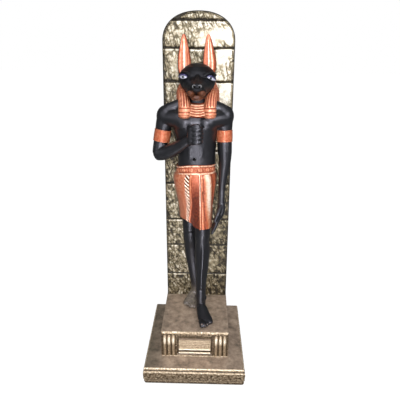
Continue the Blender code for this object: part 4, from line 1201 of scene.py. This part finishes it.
# The palest stops also serve the painted highlights on the kilt's folds and pleats.
COPPER_TONES = [(0.0, "#2a110a"), (0.2, "#742f19"), (0.5, "#b8603f"), (0.75, "#d69a79"), (1.0, "#f6e4d2")]
copper, tree, shader, _, _, tone, _ = mottled_paint("copper_bronzing_paint", STREAK, 5.0, COPPER_TONES, 0.5, 0.2,
                                                    roughness=0.36, metallic=0.3, Coat_Weight=0.2, Coat_Roughness=0.3)
gloss = add(tree, "ShaderNodeMapRange", {"Value": tone, "From Min": 0.15, "From Max": 0.5, "To Min": 0.62,
                                         "To Max": 0.34})
tree.links.new(gloss.outputs["Result"], shader.inputs["Roughness"])
coat_with(copper, "copper_paint", headcloth, collar, belt, kilt, *lappets, *armbands, *ears)

# %% The ears' rims and backs stay black
for ear in ears:
    ear.data.materials.append(black)
    tones = ear.data.attributes["relief"].data
    for face in ear.data.polygons:
        if min(tones[i].value for i in face.vertices) < 0:
            face.material_index = 1

# %% [markdown]
# ### Antique gilt
#
# The stonework has dull gold paint rubbed over a dark brown ground: gold on the high spots and edges, bare
# ground in the pits and joints. The tone that each piece remembers also carries painted light and shade. Level
# tops hold dust, which greys them.

# %% Antique gilt for the slab, driven by its depth
GRAIN = 0.003


def gilt_paint(name, stops, dusty):
    """Rubbed gilt whose tone follows the relief; where it is dusty, level tops turn grey, greener at one side."""
    gilt, tree, shader, place, _, _, colour = mottled_paint(name, GRAIN, 6.0, stops, 0.18, 0.25, roughness=0.44,
                                                            metallic=0.35)
    if dusty:
        facing = add(tree, "ShaderNodeSeparateXYZ", {0: add(tree, "ShaderNodeNewGeometry").outputs["Normal"]})
        level = add(tree, "ShaderNodeMapRange", {"Value": facing.outputs["Z"], "From Min": 0.86, "From Max": 0.98})
        stain = add(tree, "ShaderNodeTexNoise", {"Vector": place, "Scale": 70.0, "Detail": 8.0, "Roughness": 0.65})
        dust_and_painted_light = add(tree, "ShaderNodeValToRGB", {"Fac": stain.outputs["Fac"]},
                   stops=[(0.32, "#75695c"), (0.5, "#a4907f"), (0.68, "#c0ac98")])
        across = add(tree, "ShaderNodeSeparateXYZ", {0: place})
        left = add(tree, "ShaderNodeMapRange", {"Value": across.outputs["X"], "From Min": -0.045, "From Max": -0.085,
                                                "To Max": 0.55})
        green = mix(tree, left.outputs["Result"], dust_and_painted_light.outputs["Color"], linear("#4a4b3b"))
        tree.links.new(mix(tree, level.outputs["Result"], colour, green), shader.inputs["Base Color"])
    return gilt


# The slab's palest stops also serve its painted light: the glow on the upper courses and the highlights on the joints'
# lips.
SLAB_TONES = [(0.05, "#231d14"), (0.25, "#504632"), (0.5, "#857960"), (0.72, "#c2baaa"), (0.95, "#f4efe9")]
BASE_TONES = [(0.05, "#21180e"), (0.3, "#66543f"), (0.55, "#9b876f"), (0.78, "#bfac92"), (1.0, "#f0e6d6")]
slab_gilt = gilt_paint("antique_gilt_on_stone_relief", SLAB_TONES, dusty=False)
base_gilt = gilt_paint("antique_gilt_on_mouldings", BASE_TONES, dusty=True)
coat_with(slab_gilt, "antique_gilt_paint", slab)
coat_with(base_gilt, "antique_gilt_paint", pedestal, plinth)

# %% [markdown]
# ### Small paints
#
# The eyes, the navel, the nostrils and the toenails are each touched in with a spot of plain enamel, too small
# to show any brush marks, so one loop mixes them all.

# %% Eye white, pupil, shade spot, lid line, nostril rim and nail
# Each paint: its colour, its roughness, its specular level, the slot it stands for and what it covers.
SMALL_PAINTS = {
    "eye_white_enamel": ("#b6b8c8", 0.3, 0.5, BLACK_SLOT, [eyes]),  # cool white that shines a little
    "pupil_black_enamel": ("#0c0d10", 0.2, 0.5, BLACK_SLOT, [eye_pupils]),  # a wet, lively spark
    "painted_shade_black": ("#070707", 0.95, 0.1, BLACK_SLOT, [navel_shade_disc, nostril_shade_spots]),  # a matt black spot, painted shade where a hole would be
    "lid_violet_enamel": ("#3f3b66", 0.4, 0.5, BLACK_SLOT, [eye_lids]),  # the violet line over each eye
    "grey_highlight_enamel": ("#7c7c80", 0.3, 0.5, BLACK_SLOT, [nostril_rims]),  # grey paint on the nostril rims: a painted highlight
    "pale_nail_enamel": ("#5f5450", 0.35, 0.5, "copper_paint", [toenails]),  # dusty copper on the nails
}
for name, (colour, roughness, specular, slot, pieces) in SMALL_PAINTS.items():
    paint, _, shader = new_paint(name, roughness, Specular_IOR_Level=specular)
    shader.inputs["Base Color"].default_value = linear(colour)
    coat_with(paint, slot, *pieces)
print(f"{len(SMALL_PAINTS)} small paints")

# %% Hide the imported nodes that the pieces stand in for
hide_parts("figure")
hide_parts("slab")
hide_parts("pedestal")
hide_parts("plinth")

# %% [markdown]
# ## Floor, light and camera
#
# The photograph was taken with a flash beside the lens, on a pale ground that burns out to white. A small
# bright panel near the camera gives that flash, and a soft sky fills the rest. Upright gloss black mirrors
# what lies below the lens, so a standing strip and one on the table draw its long highlights. The camera
# stands where the photograph's perspective puts it: close, a little above the eyes, and looking down.

# %% A pale floor that lights less than it shows
FLOOR_LIGHT = 0.15
only()
bpy.ops.mesh.primitive_plane_add(size=30, location=(0, 0, 0))
floor = bpy.context.object
floor.name = "pale_floor"
floor_paint, tree, shader = new_paint("pale_paper", roughness=0.9)
shader.inputs["Base Color"].default_value = linear("#3c3c3c")
seen = add(tree, "ShaderNodeLightPath").outputs["Is Camera Ray"]
shader.inputs["Emission Color"].default_value = (1, 1, 1, 1)
glow = add(tree, "ShaderNodeMapRange", {"Value": seen, "To Min": FLOOR_LIGHT, "To Max": 1.0})
tree.links.new(glow.outputs["Result"], shader.inputs["Emission Strength"])
floor.data.materials.append(floor_paint)

# %% The camera
CAMERA_PLACE = (0.0164, -0.6055, 0.5308)
YAW, PITCH, ROLL = math.radians(1.019), math.radians(20.25), math.radians(0.591)
ahead = Vector((-math.sin(YAW) * math.cos(PITCH), math.cos(YAW) * math.cos(PITCH), -math.sin(PITCH)))
level_right = ahead.cross(Vector((0, 0, 1))).normalized()
level_up = level_right.cross(ahead)
right = level_right * math.cos(ROLL) + level_up * math.sin(ROLL)
above = level_up * math.cos(ROLL) - level_right * math.sin(ROLL)
only()
bpy.ops.object.camera_add()
camera = bpy.context.object
camera.matrix_world = Matrix.Translation(CAMERA_PLACE) @ Matrix((right, above, -ahead)).transposed().to_4x4()
camera.data.sensor_width = 36
camera.data.lens = 34.65
bpy.context.scene.camera = camera

# %% Soft light all round, and a flash beside the lens


def panel(name, place, aim, size, watts, long=None):
    """A square or long light that looks at a point."""
    only()
    bpy.ops.object.light_add(type="AREA", location=place)
    light = bpy.context.object
    light.name = name
    light.data.shape = "RECTANGLE"
    light.data.size = size
    light.data.size_y = long or size
    light.data.energy = watts
    light.rotation_euler = (Vector(aim) - Vector(place)).to_track_quat("-Z", "Y").to_euler()


panel("flash", (0.05, -0.62, 0.66), (0, 0.02, 0.38), 0.13, 3.2)
panel("left_softbox", (-0.9, -0.7, 0.9), (0, 0, 0.3), 0.7, 1.5)
panel("right_softbox", (0.6, -0.62, 0.78), (0, 0, 0.34), 0.45, 4)
panel("tall_strip", (-0.02, -0.95, 0.32), (0, 0, 0.32), 0.14, 3, long=0.6)
panel("strip_on_the_table", (-0.01, -0.56, 0.02), (-0.01, -0.55, 1), 0.1, 2.8, long=0.68)

# %% Daylight for the floor, and a plain white room that lights less than it shows
only()
bpy.ops.object.light_add(type="SUN", rotation=(math.radians(32), 0, math.radians(-12)))
daylight = bpy.context.object
daylight.data.energy = 1.0
daylight.data.angle = math.radians(35)
ROOM_LIGHT = 0.14
room = bpy.data.worlds.new("white_room")
room.use_nodes = True
background = room.node_tree.nodes["Background"]
background.inputs["Color"].default_value = (1, 1, 1, 1)
seen = add(room.node_tree, "ShaderNodeLightPath").outputs["Is Camera Ray"]
strength = add(room.node_tree, "ShaderNodeMapRange", {"Value": seen, "To Min": ROOM_LIGHT, "To Max": 1.0})
room.node_tree.links.new(strength.outputs["Result"], background.inputs["Strength"])
bpy.context.scene.world = room
bpy.context.scene.view_settings.view_transform = "Standard"
